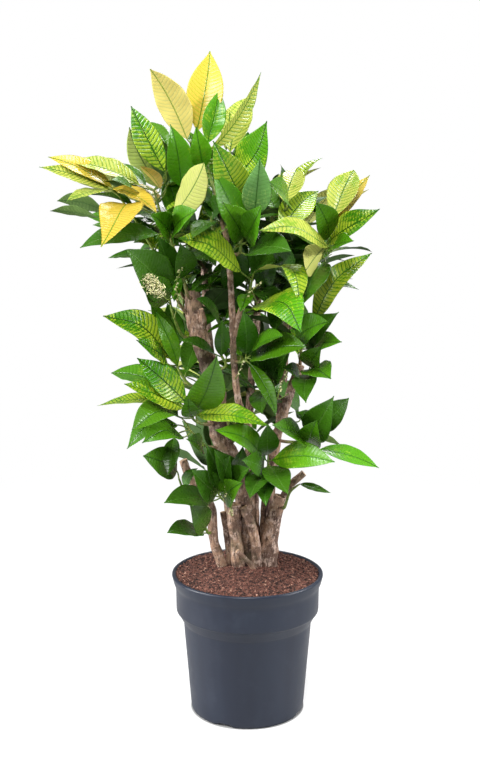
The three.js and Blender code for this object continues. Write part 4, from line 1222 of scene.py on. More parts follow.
class PottingMix(Finish):
    """Potting mix: moist reddish coir and peat with pale specks, darkened with painted shade where its
    relief sinks.
    """

    name = "potting_mix"
    clod_mm = 3.03
    speck_mm = 1.61

    def paint(self) -> None:
        """Adds clods, painted shade in the hollows, and specks."""
        sheet = self.sheet
        spot = self.spot()
        clod = self.noise(spot, self.clod_mm, 8.0, 0.75)
        # The same noise sets the relief: the browns of the mix, turning near black where it sinks, which is
        # painted shade in the hollows.
        earth_and_hollow_shade = sheet.blend(sheet.ramp(clod, 0.42, 0.58), linear("150a07"), linear("6c4336"))
        specks = self.dots(spot, self.speck_mm, 0.05, 0.18)
        pale = sheet.math("MULTIPLY", specks, sheet.ramp(clod, 0.48, 0.6))
        self.surface(sheet.blend(pale, earth_and_hollow_shade, linear("d8bda6")), 0.95)
        self.relief(clod, 3, 1.0)


class CoirCrumb(Finish):
    """Loose crumbs and fibres on the mix: dark and reddish browns with pale specks."""

    name = "coir_crumbs"
    mix_mm = 4.76

    def paint(self) -> None:
        """Adds the browns."""
        sheet = self.sheet
        mix = self.noise(self.spot(), self.mix_mm, 5.0, 0.8)
        brown = sheet.blend(sheet.ramp(mix, 0.42, 0.56), linear("1a0d09"), linear("70463a"))
        brown = sheet.blend(sheet.ramp(mix, 0.6, 0.65), brown, linear("d0aa90"))
        self.surface(brown, 0.9)
        self.relief(mix, 1, 0.5)


# ---- Geometry trees


class Grower:
    """A geometry tree that grows pieces from chains of points or from a surface."""

    title = "grower"

    def __init__(self) -> None:
        """Builds the tree."""
        self.tree = bpy.data.node_groups.new(self.title, "GeometryNodeTree")
        self.sheet = Sheet(self.tree)
        for way in ("INPUT", "OUTPUT"):
            self.tree.interface.new_socket("Geometry", in_out=way, socket_type="NodeSocketGeometry")
        self.entry = self.tree.nodes.new("NodeGroupInput")
        self.plan()

    def plan(self) -> None:
        """Adds the tree's nodes."""

    def input(self, name: str, kind: str, value: Any = None) -> Any:
        """Adds a named input with a starting value and gives its socket."""
        made = self.tree.interface.new_socket(name, in_out="INPUT", socket_type=f"NodeSocket{kind}")
        if value is not None:
            made.default_value = value
        return self.entry.outputs[name]

    def store(self, geometry: Any, name: str, value: Any, kind: str = "FLOAT") -> Any:
        """Stores a named attribute on the points."""
        links = {"Geometry": geometry, "Name": name, "Value": value}
        return self.sheet.add("GeometryNodeStoreNamedAttribute", links, data_type=kind, domain="POINT")

    def named(self, name: str, kind: str = "FLOAT") -> Any:
        """Reads a named attribute."""
        return self.sheet.add("GeometryNodeInputNamedAttribute", {"Name": name}, data_type=kind)

    def vector(self, operation: str, *values: Any) -> Any:
        """Adds a sum of vectors."""
        return self.sheet.add("ShaderNodeVectorMath", dict(enumerate(values)), operation=operation)

    def scaled(self, vector: Any, size: Any) -> Any:
        """Adds a vector times a number."""
        return self.sheet.add("ShaderNodeVectorMath", {0: vector, "Scale": size}, operation="SCALE")

    def ring(self, around: Any) -> Any:
        """Adds a circle of radius 1 to loft along curves."""
        links = {"Resolution": around, "Radius": 1.0}
        return self.sheet.add("GeometryNodeCurvePrimitiveCircle", links, mode="RADIUS")

    def end(self, geometry: Any, finish: Any, faces: Any = True) -> None:
        """Ends the tree in realised, smooth geometry, some or all of whose faces take a finish."""
        made = self.sheet.add("GeometryNodeRealizeInstances", {"Geometry": geometry})
        made = self.sheet.add("GeometryNodeSetShadeSmooth", {"Geometry": made})
        dressed = {"Geometry": made, "Selection": faces, "Material": finish}
        self.sheet.add("NodeGroupOutput", {0: self.sheet.add("GeometryNodeSetMaterial", dressed)})

    def grow(self, name: str, mesh: Mesh, **values: Any) -> Object:
        """Grows a piece.

        Args:
            name: The new piece's name.
            mesh: The chains or surface that it grows from.
            **values: The tree's inputs, by name.

        Returns:
            A plain mesh object without modifiers.
        """
        carrier = placed(f"{name}_carrier", mesh)
        modifier = carrier.modifiers.new("grow", "NODES")
        modifier.node_group = self.tree
        for item in self.tree.interface.items_tree:
            if item.item_type == "SOCKET" and item.in_out == "INPUT" and item.name in values:
                modifier[item.identifier] = values[item.name]
        bpy.context.view_layer.update()
        evaluated = carrier.evaluated_get(bpy.context.evaluated_depsgraph_get())
        grown = bpy.data.meshes.new_from_object(evaluated)
        carrier.modifiers.remove(modifier)
        bpy.data.objects.remove(carrier)
        grown.name = name
        return placed(name, grown)


class BladeGrower(Grower):
    """Lofts leaf blades along midribs.

    Each chain is a midrib. It carries its blade's half width, outline, the way its upper face
    looks, and the fold, ripple and twist of the blade.

    Attributes:
        narrowest: Least width of a blade as a share of its greatest.
        twist_from: Share of the midrib at which a blade isn't twisted.
        lag: How many ripples the two halves of a blade are out of step, halved.
        fold_power: Power of the share out from the midrib that the fold rises with.
        seed_reach: How far apart in the patterns two leaves may lie, in mm.
    """

    title = "leaf_blades_along_midribs"
    narrowest = 0.03
    twist_from = 0.35
    lag = 0.13
    fold_power = 1.25
    seed_reach = 40.0

    def plan(self) -> None:
        """Adds the nodes."""
        sheet = self.sheet
        steps = self.input("Steps", "Int", 30)
        around = self.input("Around", "Int", 16)
        thickness = self.input("Thickness", "Float", 0.018)
        ripples = self.input("Ripples", "Float", 4.0)
        finish = self.input("Finish", "Material")
        curve = sheet.add("GeometryNodeMeshToCurve", {"Mesh": self.entry.outputs["Geometry"]})
        curve = sheet.add("GeometryNodeCurveSplineType", {"Curve": curve}, spline_type="CATMULL_ROM")
        curve = sheet.add("GeometryNodeResampleCurve", {"Curve": curve, "Count": steps}, mode="COUNT")
        lofted = {
            "Curve": self._faced(curve),
            "Profile Curve": self._section(around, thickness),
            "Scale": self.named("blade_half"),
            "Fill Caps": True,
        }
        mesh = sheet.add("GeometryNodeCurveToMesh", lofted)
        offset = self.scaled(self.named("blade_up", "FLOAT_VECTOR"), self._lift(ripples))
        mesh = sheet.add("GeometryNodeSetPosition", {"Geometry": mesh, "Offset": offset})
        self.end(self._mapped(mesh), finish)

    def _faced(self, curve: Any) -> Any:
        """Adds a midrib's widths and lengths, and turns it to its twisted upper face."""
        sheet = self.sheet
        along = sheet.add("GeometryNodeSplineParameter")
        share = along.outputs["Factor"]
        curve = self.store(curve, "blade_half", self._half_width(share))
        curve = self.store(curve, "blade_t", share)
        curve = self.store(curve, "blade_along", along.outputs["Length"])
        heading = sheet.add("GeometryNodeInputTangent")
        beyond = sheet.math("SUBTRACT", share, self.twist_from)
        angle = sheet.math("MULTIPLY", beyond, self.named("leaf_twist"))
        turned = {"Vector": self.named("face", "FLOAT_VECTOR"), "Axis": heading, "Angle": angle}
        face = sheet.add("ShaderNodeVectorRotate", turned, rotation_type="AXIS_ANGLE")
        across = self.vector("CROSS_PRODUCT", face, heading)
        up = self.vector("NORMALIZE", self.vector("CROSS_PRODUCT", heading, across))
        curve = self.store(curve, "blade_up", up, "FLOAT_VECTOR")
        return sheet.add("GeometryNodeSetCurveNormal", {"Curve": curve, "Normal": across}, mode="FREE")

    def _section(self, around: Any, thickness: Any) -> Any:
        """Adds a blade's flat oval section, which remembers its own two coordinates."""
        sheet = self.sheet
        profile = self.ring(around)
        where = sheet.add("ShaderNodeSeparateXYZ", {0: sheet.add("GeometryNodeInputPosition")})
        profile = self.store(profile, "profile_x", where.outputs[0])
        profile = self.store(profile, "profile_y", where.outputs[1])
        thin = sheet.math("MULTIPLY", where.outputs[1], thickness)
        flat = sheet.add("ShaderNodeCombineXYZ", {0: where.outputs[0], 1: thin})
        return sheet.add("GeometryNodeSetPosition", {"Geometry": profile, "Position": flat})

    def _lift(self, ripples: Any) -> Any:
        """Gives how far each point of a blade is lifted by the fold and the ripples.

        Args:
            ripples: Socket with the number of ripples up the blade.

        Returns:
            Socket with the lift.
        """
        sheet = self.sheet
        side = self.named("profile_x")
        edge = sheet.math("ABSOLUTE", side)
        turns = sheet.math("MULTIPLY_ADD", self.named("blade_t"), ripples, self.named("leaf_seed"))
        turns = sheet.math("MULTIPLY_ADD", sheet.math("SIGN", side), self.lag, turns)
        ripple = sheet.math("SINE", sheet.math("MULTIPLY", turns, 2 * math.pi))
        ripple = sheet.math("MULTIPLY", ripple, sheet.math("MULTIPLY", edge, edge))
        rise = sheet.math("POWER", edge, self.fold_power)
        fold = sheet.math("MULTIPLY", rise, self.named("leaf_fold"))
        lift = sheet.math("MULTIPLY_ADD", ripple, self.named("leaf_wave"), fold)
        return sheet.math("MULTIPLY", lift, self.named("blade_half"))

    def _mapped(self, mesh: Any) -> Any:
        """Stores what the leaf's finish reads: the place on the blade in mm, its edge and side."""
        sheet = self.sheet
        side = self.named("profile_x")
        across = sheet.math("MULTIPLY", side, self.named("blade_half"))
        place = {
            0: sheet.math("MULTIPLY", across, 1 / MM),
            1: sheet.math("MULTIPLY", self.named("blade_along"), 1 / MM),
            2: sheet.math("MULTIPLY", self.named("leaf_seed"), self.seed_reach),
        }
        place = sheet.add("ShaderNodeCombineXYZ", place)
        mesh = self.store(mesh, "leaf_mm", place, "FLOAT_VECTOR")
        mesh = self.store(mesh, "leaf_edge", sheet.math("ABSOLUTE", side))
        mesh = self.store(mesh, "leaf_side", self.named("profile_y"))
        look = sheet.add("ShaderNodeSeparateXYZ", {0: self.named("leaf_look", "FLOAT_VECTOR")})
        look = {0: look.outputs[0], 1: look.outputs[1], 2: self.named("blade_t")}
        look = sheet.add("ShaderNodeCombineXYZ", look)
        return self.store(mesh, "leaf_look", look, "FLOAT_VECTOR")

    def _half_width(self, share: Any) -> Any:
        """Adds the blade's outline: t^p (1-t)^q, scaled to 1 at its widest, times half its width."""
        sheet = self.sheet
        shape = sheet.add("ShaderNodeSeparateXYZ", {0: self.named("leaf_outline", "FLOAT_VECTOR")})
        foot = sheet.math("POWER", share, shape.outputs[0])
        tip = sheet.math("POWER", sheet.math("SUBTRACT", 1.0, share), shape.outputs[1])
        outline = sheet.math("MULTIPLY", sheet.math("MULTIPLY", foot, tip), shape.outputs[2])
        outline = sheet.math("MAXIMUM", outline, self.narrowest)
        return sheet.math("MULTIPLY", outline, self.named("half_width"))


class StemGrower(Grower):
    """Lofts stems along paths.

    Each chain is a path with a radius at each point. The skin is made uneven by a noise, and the
    flat ends, whose faces have more than four corners, take the finish of a cut.
    """

    title = "stems_along_paths"

    def plan(self) -> None:
        """Adds the nodes."""
        sheet = self.sheet
        step = self.input("Step", "Float", 0.004)
        around = self.input("Around", "Int", 8)
        rough = self.input("Unevenness", "Float", 0.1)
        grain = self.input("Knots per metre", "Float", 60.0)
        finish = self.input("Finish", "Material")
        cut = self.input("Cut finish", "Material")
        curve = sheet.add("GeometryNodeMeshToCurve", {"Mesh": self.entry.outputs["Geometry"]})
        curve = sheet.add("GeometryNodeResampleCurve", {"Curve": curve, "Length": step}, mode="LENGTH")
        curve = sheet.add("GeometryNodeSetCurveNormal", {"Curve": curve}, mode="MINIMUM_TWIST")
        radius = self.named("stem_radius")
        lofted = {"Curve": curve, "Profile Curve": self.ring(around), "Scale": radius}
        mesh = sheet.add("GeometryNodeCurveToMesh", {**lofted, "Fill Caps": True})
        where = {"Vector": sheet.add("GeometryNodeInputPosition"), "Scale": grain, "Detail": 3.0}
        noise = sheet.add("ShaderNodeTexNoise", where)
        lift = sheet.math("MULTIPLY", sheet.math("SUBTRACT", noise.outputs["Fac"], 0.5), rough)
        lift = sheet.math("MULTIPLY", lift, radius)
        offset = self.scaled(sheet.add("GeometryNodeInputNormal").outputs[0], lift)
        mesh = sheet.add("GeometryNodeSetPosition", {"Geometry": mesh, "Offset": offset})
        mesh = sheet.add("GeometryNodeSetMaterial", {"Geometry": mesh, "Material": cut})
        corners = sheet.add("GeometryNodeInputMeshFaceNeighbors").outputs["Vertex Count"]
        skin = {"A_INT": corners, "B_INT": 4}
        skin = sheet.add("FunctionNodeCompare", skin, data_type="INT", operation="LESS_EQUAL")
        self.end(mesh, finish, skin)


class Strewer(Grower):
    """Strews small lumps over a surface, or along paths.

    Attributes:
        densest: Most lumps on a square metre before their spacing thins them out.
        largest: Size of the largest lump as a share of the usual size.
    """

    title = "lumps_strewn"
    densest = 90000.0
    largest = 1.25

    def plan(self) -> None:
        """Adds the nodes."""
        sheet = self.sheet
        spacing = self.input("Spacing", "Float", 0.0035)
        size = self.input("Size", "Float", 0.0022)
        stretch = self.input("Stretch", "Vector", (1.0, 1.0, 0.7))
        spread = self.input("Spread", "Float", 0.0)
        smallest = self.input("Smallest", "Float", 0.45)
        bumps = self.input("Bumps per metre", "Float", 500.0)
        seed = self.input("Seed", "Int", SEED)
        finish = self.input("Finish", "Material")
        source = self.entry.outputs["Geometry"]
        wide = {"Mesh": source, "Distance Min": spacing, "Density Max": self.densest, "Seed": seed}
        wide = sheet.add("GeometryNodeDistributePointsOnFaces", wide, distribute_method="POISSON")
        line = sheet.add("GeometryNodeMeshToCurve", {"Mesh": source})
        line = sheet.add("GeometryNodeCurveToPoints", {"Curve": line, "Length": spacing}, mode="LENGTH")
        both = sheet.add("GeometryNodeJoinGeometry")
        self.tree.links.new(line.outputs["Points"], both.inputs[0])
        self.tree.links.new(wide.outputs["Points"], both.inputs[0])
        moved = {"Geometry": both, "Offset": self.scaled(self.chance(1.0, seed), spread)}
        points = sheet.add("GeometryNodeSetPosition", moved)
        lump = sheet.add("GeometryNodeMeshIcoSphere", {"Radius": 1.0, "Subdivisions": 1})
        turn = self.chance(math.pi, seed)
        scale = {"Min_001": smallest, "Max_001": self.largest, "Seed": seed}
        scale = sheet.add("FunctionNodeRandomValue", scale, data_type="FLOAT")
        scale = self.scaled(self.scaled(stretch, scale), size)
        strewn = {"Points": points, "Instance": lump, "Rotation": turn, "Scale": scale}
        strewn = sheet.add("GeometryNodeInstanceOnPoints", strewn)
        strewn = sheet.add("GeometryNodeRealizeInstances", {"Geometry": strewn})
        where = {"Vector": sheet.add("GeometryNodeInputPosition"), "Scale": bumps}
        noise = sheet.add("ShaderNodeTexNoise", where).outputs["Fac"]
        push = sheet.math("MULTIPLY", sheet.math("SUBTRACT", noise, 0.5), size)
        push = self.scaled(sheet.add("GeometryNodeInputNormal").outputs[0], push)
        strewn = sheet.add("GeometryNodeSetPosition", {"Geometry": strewn, "Offset": push})
        finished = {"Geometry": strewn, "Material": finish}
        sheet.add("NodeGroupOutput", {0: sheet.add("GeometryNodeSetMaterial", finished)})

    def chance(self, most: float, seed: Any) -> Any:
        """Adds a vector whose parts lie by chance between less and more than nothing."""
        ends = {"Min": (-most,) * 3, "Max": (most,) * 3, "Seed": seed}
        return self.sheet.add("FunctionNodeRandomValue", ends, data_type="FLOAT_VECTOR")


# ---- Chains of points


@dataclass
class Chain:
    """A line of points with values that hold for the whole line or point by point.

    Attributes:
        points: The points in mm.
        values: One value, or one for each point, by attribute name.
    """

    points: list[Vector]
    values: dict[str, Any] = field(default_factory=dict)


def chain_mesh(name: str, chains: Sequence[Chain]) -> Mesh:
    """Makes a mesh of edges from chains.

    Args:
        name: The mesh's name.
        chains: Chains that all carry the same attributes.

    Returns:
        The mesh in metres.
    """
    points, edges = [], []
    for chain in chains:
        start = len(points)
        points += [tuple(point * MM) for point in chain.points]
        edges += [(i, i + 1) for i in range(start, len(points) - 1)]
    mesh = bpy.data.meshes.new(name)
    mesh.from_pydata(points, edges, [])
    kinds = {0: ("FLOAT", "value"), 3: ("FLOAT_VECTOR", "vector"), 4: ("FLOAT_COLOR", "color")}
    for key in chains[0].values:
        rows = []
        for chain in chains:
            value = chain.values[key]
            rows += value if isinstance(value, list) else [value] * len(chain.points)
        size = len(rows[0]) if isinstance(rows[0], (tuple, Vector)) else 0
        kind, slot = kinds[size]
        attribute = mesh.attributes.new(key, kind, "POINT")
        attribute.data.foreach_set(slot, np.array(rows, dtype=np.float32).ravel())
    return mesh


def tinted(code: str, rng: Random, spread: float) -> Four:
    """Gives a colour a little lighter or darker, and a little warmer or cooler.

    Args:
        code: The colour's hex code.
        rng: The source of chance.
        spread: How far it may stray, as a share.

    Returns:
        The colour in linear light.
    """
    red, green, blue, alpha = linear(code)
    light = 1 + rng.uniform(-spread, spread)
    warm = 1 + rng.uniform(-spread, spread) * 0.6
    return (min(red * light * warm, 1.0), min(green * light, 1.0), blue * light, alpha)


def tapered(ends: Pair, steps: int) -> list[float]:
    """Gives a stem's radii from one end to the other in metres, from those of its ends in mm."""
    first, last = ends
    return [(first + (last - first) * i / steps) * MM for i in range(steps + 1)]


def placed(name: str, data: bpy.types.ID) -> Object:
    """Puts an object with its data into the scene."""
    item = bpy.data.objects.new(name, data)
    bpy.context.scene.collection.objects.link(item)
    return item


def settle(piece: Object, slot: str, *nodes: str) -> None:
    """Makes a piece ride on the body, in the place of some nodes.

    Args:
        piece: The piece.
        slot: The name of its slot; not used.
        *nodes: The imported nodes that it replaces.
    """
    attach(piece, "root")
    if nodes:
        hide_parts(*nodes)
    LOG.info("%s: %d faces", piece.name, len(piece.data.polygons))


# ---- Foliage


@dataclass
class Foliage:
    """Every shoot's leaves, with the twigs and stalks that carry them.

    Each range holds the least and the most that a leaf may take.

    Attributes:
        steps: Rows of faces up a blade.
        around: Faces round a blade's section.
        sag: Droop of the blade's outer part as a share of its arch.
        sway: Sideways bend as a share of the blade's length.
        foot_power: Power of the outline at the foot.
        tip_power: Power of the outline at the tip.
        twist: Twist along the blade in radians.
        fold: Rise of the edges over the midrib as a share of the half width.
        wave: Height of the edge's ripples as a share of the half width.
        patch_spread: How far the share of lighter blocks strays.
        ground_spread: How far the blade's colour strays.
        colour_spread: How far the other colours stray.
        twig_radii: Radius of a twig at its foot and its end, in mm.
        stalk_radii: Radius of a leaf stalk at its foot and at its blade, in mm.
        stalk_steps: Steps along a stalk.
        stalk_bend: How far a stalk follows its blade's line, as a share of its length.
        browning: How fast the wood's brown fades up a twig.
        roughness: Height of a twig's swellings as a share of its radius.
        cell_aspect: Proportion of the flat map's rows to its columns.
        cell_gaps: Free share at the ends and at the sides of a face's place on the map.
        cell_end: Share of that place which a blade's small end takes.
    """

    steps: int = 30
    around: int = 16
    sag: Pair = (-0.3, 0.8)
    sway: Pair = (-0.035, 0.035)
    foot_power: Pair = (0.85, 1.1)
    tip_power: Pair = (1.05, 1.35)
    twist: Pair = (-0.4, 0.4)
    fold: Pair = (0.12, 0.32)
    wave: Pair = (0.008, 0.04)
    patch_spread: float = 0.06
    ground_spread: float = 0.16
    colour_spread: float = 0.1
    twig_radii: Pair = (2.9, 1.6)
    stalk_radii: Pair = (1.3, 1.0)
    stalk_steps: int = 7
    stalk_bend: float = 0.45
    browning: float = 1.6
    roughness: float = 0.25
    cell_aspect: float = 3
    cell_gaps: Pair = (0.04, 0.06)
    cell_end: float = 0.02

    def build(self) -> list[Twig]:
        """Grows all the shoots and gives their twigs."""
        rng = Random(SEED)
        twigs = all_twigs(rng)
        grower, finish = BladeGrower(), WaxyLeaf().made
        groups: dict[str, list[Chain]] = {"twigs_front": [], "twigs_inner": [], "twigs_behind": []}
        for twig in twigs:
            ribs = [self.rib(blade, order, rng) for order, blade in enumerate(twig.blades)]
            mesh = chain_mesh(twig.name, ribs)
            sizes = {"Steps": self.steps, "Around": self.around, "Finish": finish}
            piece = grower.grow(f"{twig.name}_leaves", mesh, **sizes)
            self.lay_flat(piece, len(ribs))
            yellow = sum(blade.tone in (YELLOW, GOLD) for blade in twig.blades) > 1
            settle(piece, "leaf_yellow" if yellow else "leaf_green", twig.name)
            group = "behind" if "_back_" in twig.name else "inner" if "_inner_" in twig.name else "front"
            groups[f"twigs_{group}"] += self.stalks(twig)
        stems, green = StemGrower(), GreenStem().made
        for name, chains in groups.items():
            values = {"Unevenness": self.roughness, "Finish": green, "Cut finish": green}
            settle(stems.grow(name, chain_mesh(name, chains), **values), "leaf_green")
        return twigs

    def rib(self, blade: Blade, order: int, rng: Random) -> Chain:
        """Makes the midrib chain of a leaf with its outline, bends and colours.

        Args:
            blade: The leaf.
            order: Its number on the twig.
            rng: The source of chance.

        Returns:
            The chain.
        """
        tone = blade.tone.value
        sag, sway = rng.uniform(*self.sag), rng.uniform(*self.sway)
        foot, tip = rng.uniform(*self.foot_power), rng.uniform(*self.tip_power)
        foot, tip = blade.outline or (foot, tip)
        widest = foot / (foot + tip)
        scale = 1 / (widest**foot * (1 - widest) ** tip)
        strayed = self.patch_spread
        values = {
            "half_width": blade.width / 2 * MM,
            "face": tuple(blade.face),
            "leaf_outline": (foot, tip, scale),
            "leaf_twist": rng.uniform(*self.twist),
            "leaf_fold": rng.uniform(*self.fold),
            "leaf_wave": rng.uniform(*self.wave),
            "leaf_seed": rng.random(),
            "leaf_order": float(order),
            "leaf_look": (tone.patchiness + rng.uniform(-strayed, strayed), tone.veining, 0.0),
            "leaf_ground": tinted(tone.ground, rng, self.ground_spread),
        }
        for part in ("patch", "vein", "under"):
            values[f"leaf_{part}"] = tinted(getattr(tone, part), rng, self.colour_spread)
        return Chain(blade.midrib(sag, sway), values)

    def stalks(self, twig: Twig) -> list[Chain]:
        """Makes the chains of a twig and its leaf stalks.

        Args:
            twig: The twig with its leaves.

        Returns:
            The twig's chain, then one for each stalk.
        """
        last = len(twig.path) - 1
        wood = [max(0.0, 1 - self.browning * i / last) for i in range(last + 1)]
        chains = [Chain(twig.path, {"stem_radius": tapered(self.twig_radii, last), "stem_wood": wood})]
        shares = [i / self.stalk_steps for i in range(self.stalk_steps + 1)]
        sizes = tapered(self.stalk_radii, self.stalk_steps)
        for blade in twig.blades:
            start = twig.stalk_start(blade)
            rib = blade.midrib(0.0, 0.0)
            heading = (rib[1] - rib[0]).normalized()
            bend = blade.foot - heading * (blade.foot - start).length * self.stalk_bend
            line = [start * (1 - t) ** 2 + bend * 2 * t * (1 - t) + blade.foot * t**2 for t in shares]
            chains.append(Chain(line, {"stem_radius": sizes, "stem_wood": 0.0}))
        return chains

    def lay_flat(self, piece: Object, count: int) -> None:
        """Lays each blade's two faces side by side on the piece's own flat map."""
        mesh = piece.data
        faces = 2 * count
        columns = math.ceil(math.sqrt(faces / self.cell_aspect))
        rows = math.ceil(faces / columns)
        corners = np.zeros(len(mesh.loops), dtype=np.int64)
        mesh.loops.foreach_get("vertex_index", corners)

        def values(name: str) -> np.ndarray:
            """Reads one of the blades' values at each corner."""
            out = np.zeros(len(mesh.vertices), dtype=np.float32)
            mesh.attributes[name].data.foreach_get("value", out)
            return out[corners]

        sizes = np.zeros(len(mesh.polygons), dtype=np.int64)
        mesh.polygons.foreach_get("loop_total", sizes)
        face = np.repeat(np.arange(len(sizes)), sizes)
        side = values("leaf_side")
        upper = np.bincount(face, side) > 0
        cell = (2 * np.round(values("leaf_order")) + upper[face]).astype(np.int64)
        # The small ends of a blade are turned out of its length, so that they keep some area.
        end = side * (sizes[face] > 4) * self.cell_end
        gap, beside = self.cell_gaps
        along = gap + (1 - 2 * gap) * np.clip(values("blade_t") + end, 0, 1)
        across = beside + (1 - 2 * beside) * (values("profile_x") + 1) / 2
        flat = np.stack([(cell % columns + along) / columns, (cell // columns + across) / rows], 1)
        layer = mesh.uv_layers.new(name="OFBake")
        layer.data.foreach_set("uv", flat.astype(np.float32).ravel())


@dataclass
class FlowerSprays:
    """Short axillary sprays of buds, and one open raceme.

    Attributes:
        routes: Places up each spray; it starts on the nearest twig or cane.
        stalk: Places up a longer spray beside the raceme.
        raceme: Places up the raceme.
        radius: Radius of a spray's stem in mm.
        bud: Size of a bud in mm.
        steps: Steps along a stem.
        bare: Steps at its foot that carry no buds.
    """

    routes: tuple[tuple[Place, ...], ...] = (
        ((208, 512, -24), (208, 505, -52), (209, 496, -62)),
        ((232, 516, -20), (231, 509, -60), (232, 501, -72)),
        ((225, 502, -20), (225, 496, -64), (226, 487, -78)),
        ((290, 455, -30), (294, 446, -36), (300, 436, -38)),
        ((278, 398, -46), (282, 384, -54), (291, 366, -58)),
        ((244, 302, -60), (251, 292, -68), (262, 281, -72)),
        ((236, 378, -40), (240, 370, -46), (243, 362, -48)),
    )
    raceme: tuple[Place, ...] = ((168, 300, -96), (160, 292, -106), (153, 286, -116), (145, 279, -120))
    stalk: tuple[Place, ...] = ((174, 318, -66), (178, 300, -70), (176, 284, -72), (182, 268, -72))
    radius: float = 0.8
    bud: float = 1.9
    steps: int = 16
    bare: int = 8

    def build(self, twigs: Sequence[Twig]) -> None:
        """Grows the sprays from the nearest twigs and canes."""
        feet = [p for twig in twigs for p in twig.path] + [p for c in CANES for p in cane_axis(c)]
        sprays = [self.stem(route, feet) for route in self.routes]
        raceme, stalk = self.stem(self.raceme, feet), self.stem(self.stalk, feet)
        green = GreenStem().made
        values = {"Step": 0.003, "Around": 6, "Finish": green, "Cut finish": green}
        stems = chain_mesh("flower_stems", [*sprays, raceme, stalk])
        settle(StemGrower().grow("flower_stems", stems, **values), "leaf_green")
        strewer, finish = Strewer(), FlowerBud().made
        sizes = {"Size": self.bud * MM, "Smallest": 0.3, "Finish": finish}
        loose = {"Spacing": 0.0028, "Spread": 0.0026, "Stretch": (0.7, 0.7, 1.1)}
        dense = {"Spacing": 0.00007, "Spread": 0.009, "Stretch": (0.34, 0.34, 1.5)}
        for name, stems, pattern in (
            ("flower_buds", [*sprays, stalk], loose),
            ("open_raceme", [raceme], dense),
        ):
            mesh = chain_mesh(name, [Chain(stem.points[self.bare :]) for stem in stems])
            buds = strewer.grow(name, mesh, **sizes, **pattern)
            buds.data.shade_smooth()
            settle(buds, "leaf_yellow")

    def stem(self, route: Sequence[Place], feet: Sequence[Vector]) -> Chain:
        """Makes the chain of a stem that starts at the nearest of several feet."""
        places = [FrontView.point(place) for place in route]
        path = smooth_path([nearest(feet, places[0]), *places], self.steps)
        return Chain(path, {"stem_radius": self.radius * MM, "stem_wood": 0.0})


# ---- Canes


@dataclass
class CaneClump:
    """The woody canes with their bark and pruned ends.

    Attributes:
        buried: How far each cane goes on down in the potting mix, in mm.
        unevenness: Height of the bark's swellings as a share of the radius.
        around: Faces round a cane.
        steps: Steps along a cane from one place to the next.
    """

    buried: float = 60
    unevenness: float = 0.5
    around: int = 24
    steps: int = 12

    def build(self) -> None:
        """Grows every cane."""
        grower = StemGrower()
        values = {
            "Unevenness": self.unevenness,
            "Around": self.around,
            "Finish": CaneBark().made,
            "Cut finish": CutWood().made,
        }
        for cane in CANES:
            mesh = chain_mesh(cane.name, self.chains(cane))
            settle(grower.grow(f"{cane.name}_bark", mesh, **values), "bark", cane.name)

    def chains(self, cane: Cane) -> list[Chain]:
        """Makes the chains of a cane and its branches.

        Args:
            cane: The cane.

        Returns:
            The cane's own chain, which starts down in the mix, then its branches'.
        """
        chains = []
        for order, limb in enumerate([cane.route, *cane.branches]):
            points = [FrontView.point(step) for step in limb]
            radii = [step[3] for step in limb]
            if order == 0:
                points.insert(0, points[0] - Vector((0, 0, self.buried)))
                radii.insert(0, radii[0])
            count = self.steps * (len(points) - 1)
            spots = np.linspace(0, len(radii) - 1, count + 1)
            sizes = np.interp(spots, range(len(radii)), radii) * MM
            chains.append(Chain(smooth_path(points, count), {"stem_radius": [float(s) for s in sizes]}))
        return chains


# ---- Pot and potting mix


def lathe(name: str, profile: Sequence[Pair], sides: int) -> Object:
    """Makes a closed turned piece.

    Args:
        name: The piece's name.
        profile: (radius, height) in mm, from the axis round to the axis.
        sides: Faces round the axis.

    Returns:
        The piece, with its faces outward.
    """
    points = [(0.0, 0.0, profile[0][1] * MM)]
    rings = profile[1:-1]
    for radius, height in rings:
        for side in range(sides):
            angle = 2 * math.pi * side / sides
            points.append((radius * MM * math.cos(angle), radius * MM * math.sin(angle), height * MM))
    points.append((0.0, 0.0, profile[-1][1] * MM))
    top = len(points) - 1
    faces: list[tuple[int, ...]] = []
    for side in range(sides):
        after = (side + 1) % sides
        faces.append((0, 1 + after, 1 + side))
        for row in range(len(rings) - 1):
            low, high = 1 + row * sides, 1 + (row + 1) * sides
            faces.append((low + side, low + after, high + after, high + side))
        last = 1 + (len(rings) - 1) * sides
        faces.append((last + side, last + after, top))
    mesh = bpy.data.meshes.new(name)
    mesh.from_pydata(points, [], faces)
    mesh.shade_smooth()
    return placed(name, mesh)


def fine_profile(profile: Sequence[Pair], step: float) -> list[Pair]:
    """Adds points to a profile so that none lies further than a step from the next.

    Args:
        profile: Radius and height of each point.
        step: The step, in the profile's unit.

    Returns:
        The profile with the added points.
    """
    fine = [profile[0]]
    for (r0, h0), (r1, h1) in zip(profile, profile[1:]):
        parts = max(1, math.ceil(math.hypot(r1 - r0, h1 - h0) / step))
        fine += [(r0 + (r1 - r0) * i / parts, h0 + (h1 - h0) * i / parts) for i in range(1, parts + 1)]
    return fine


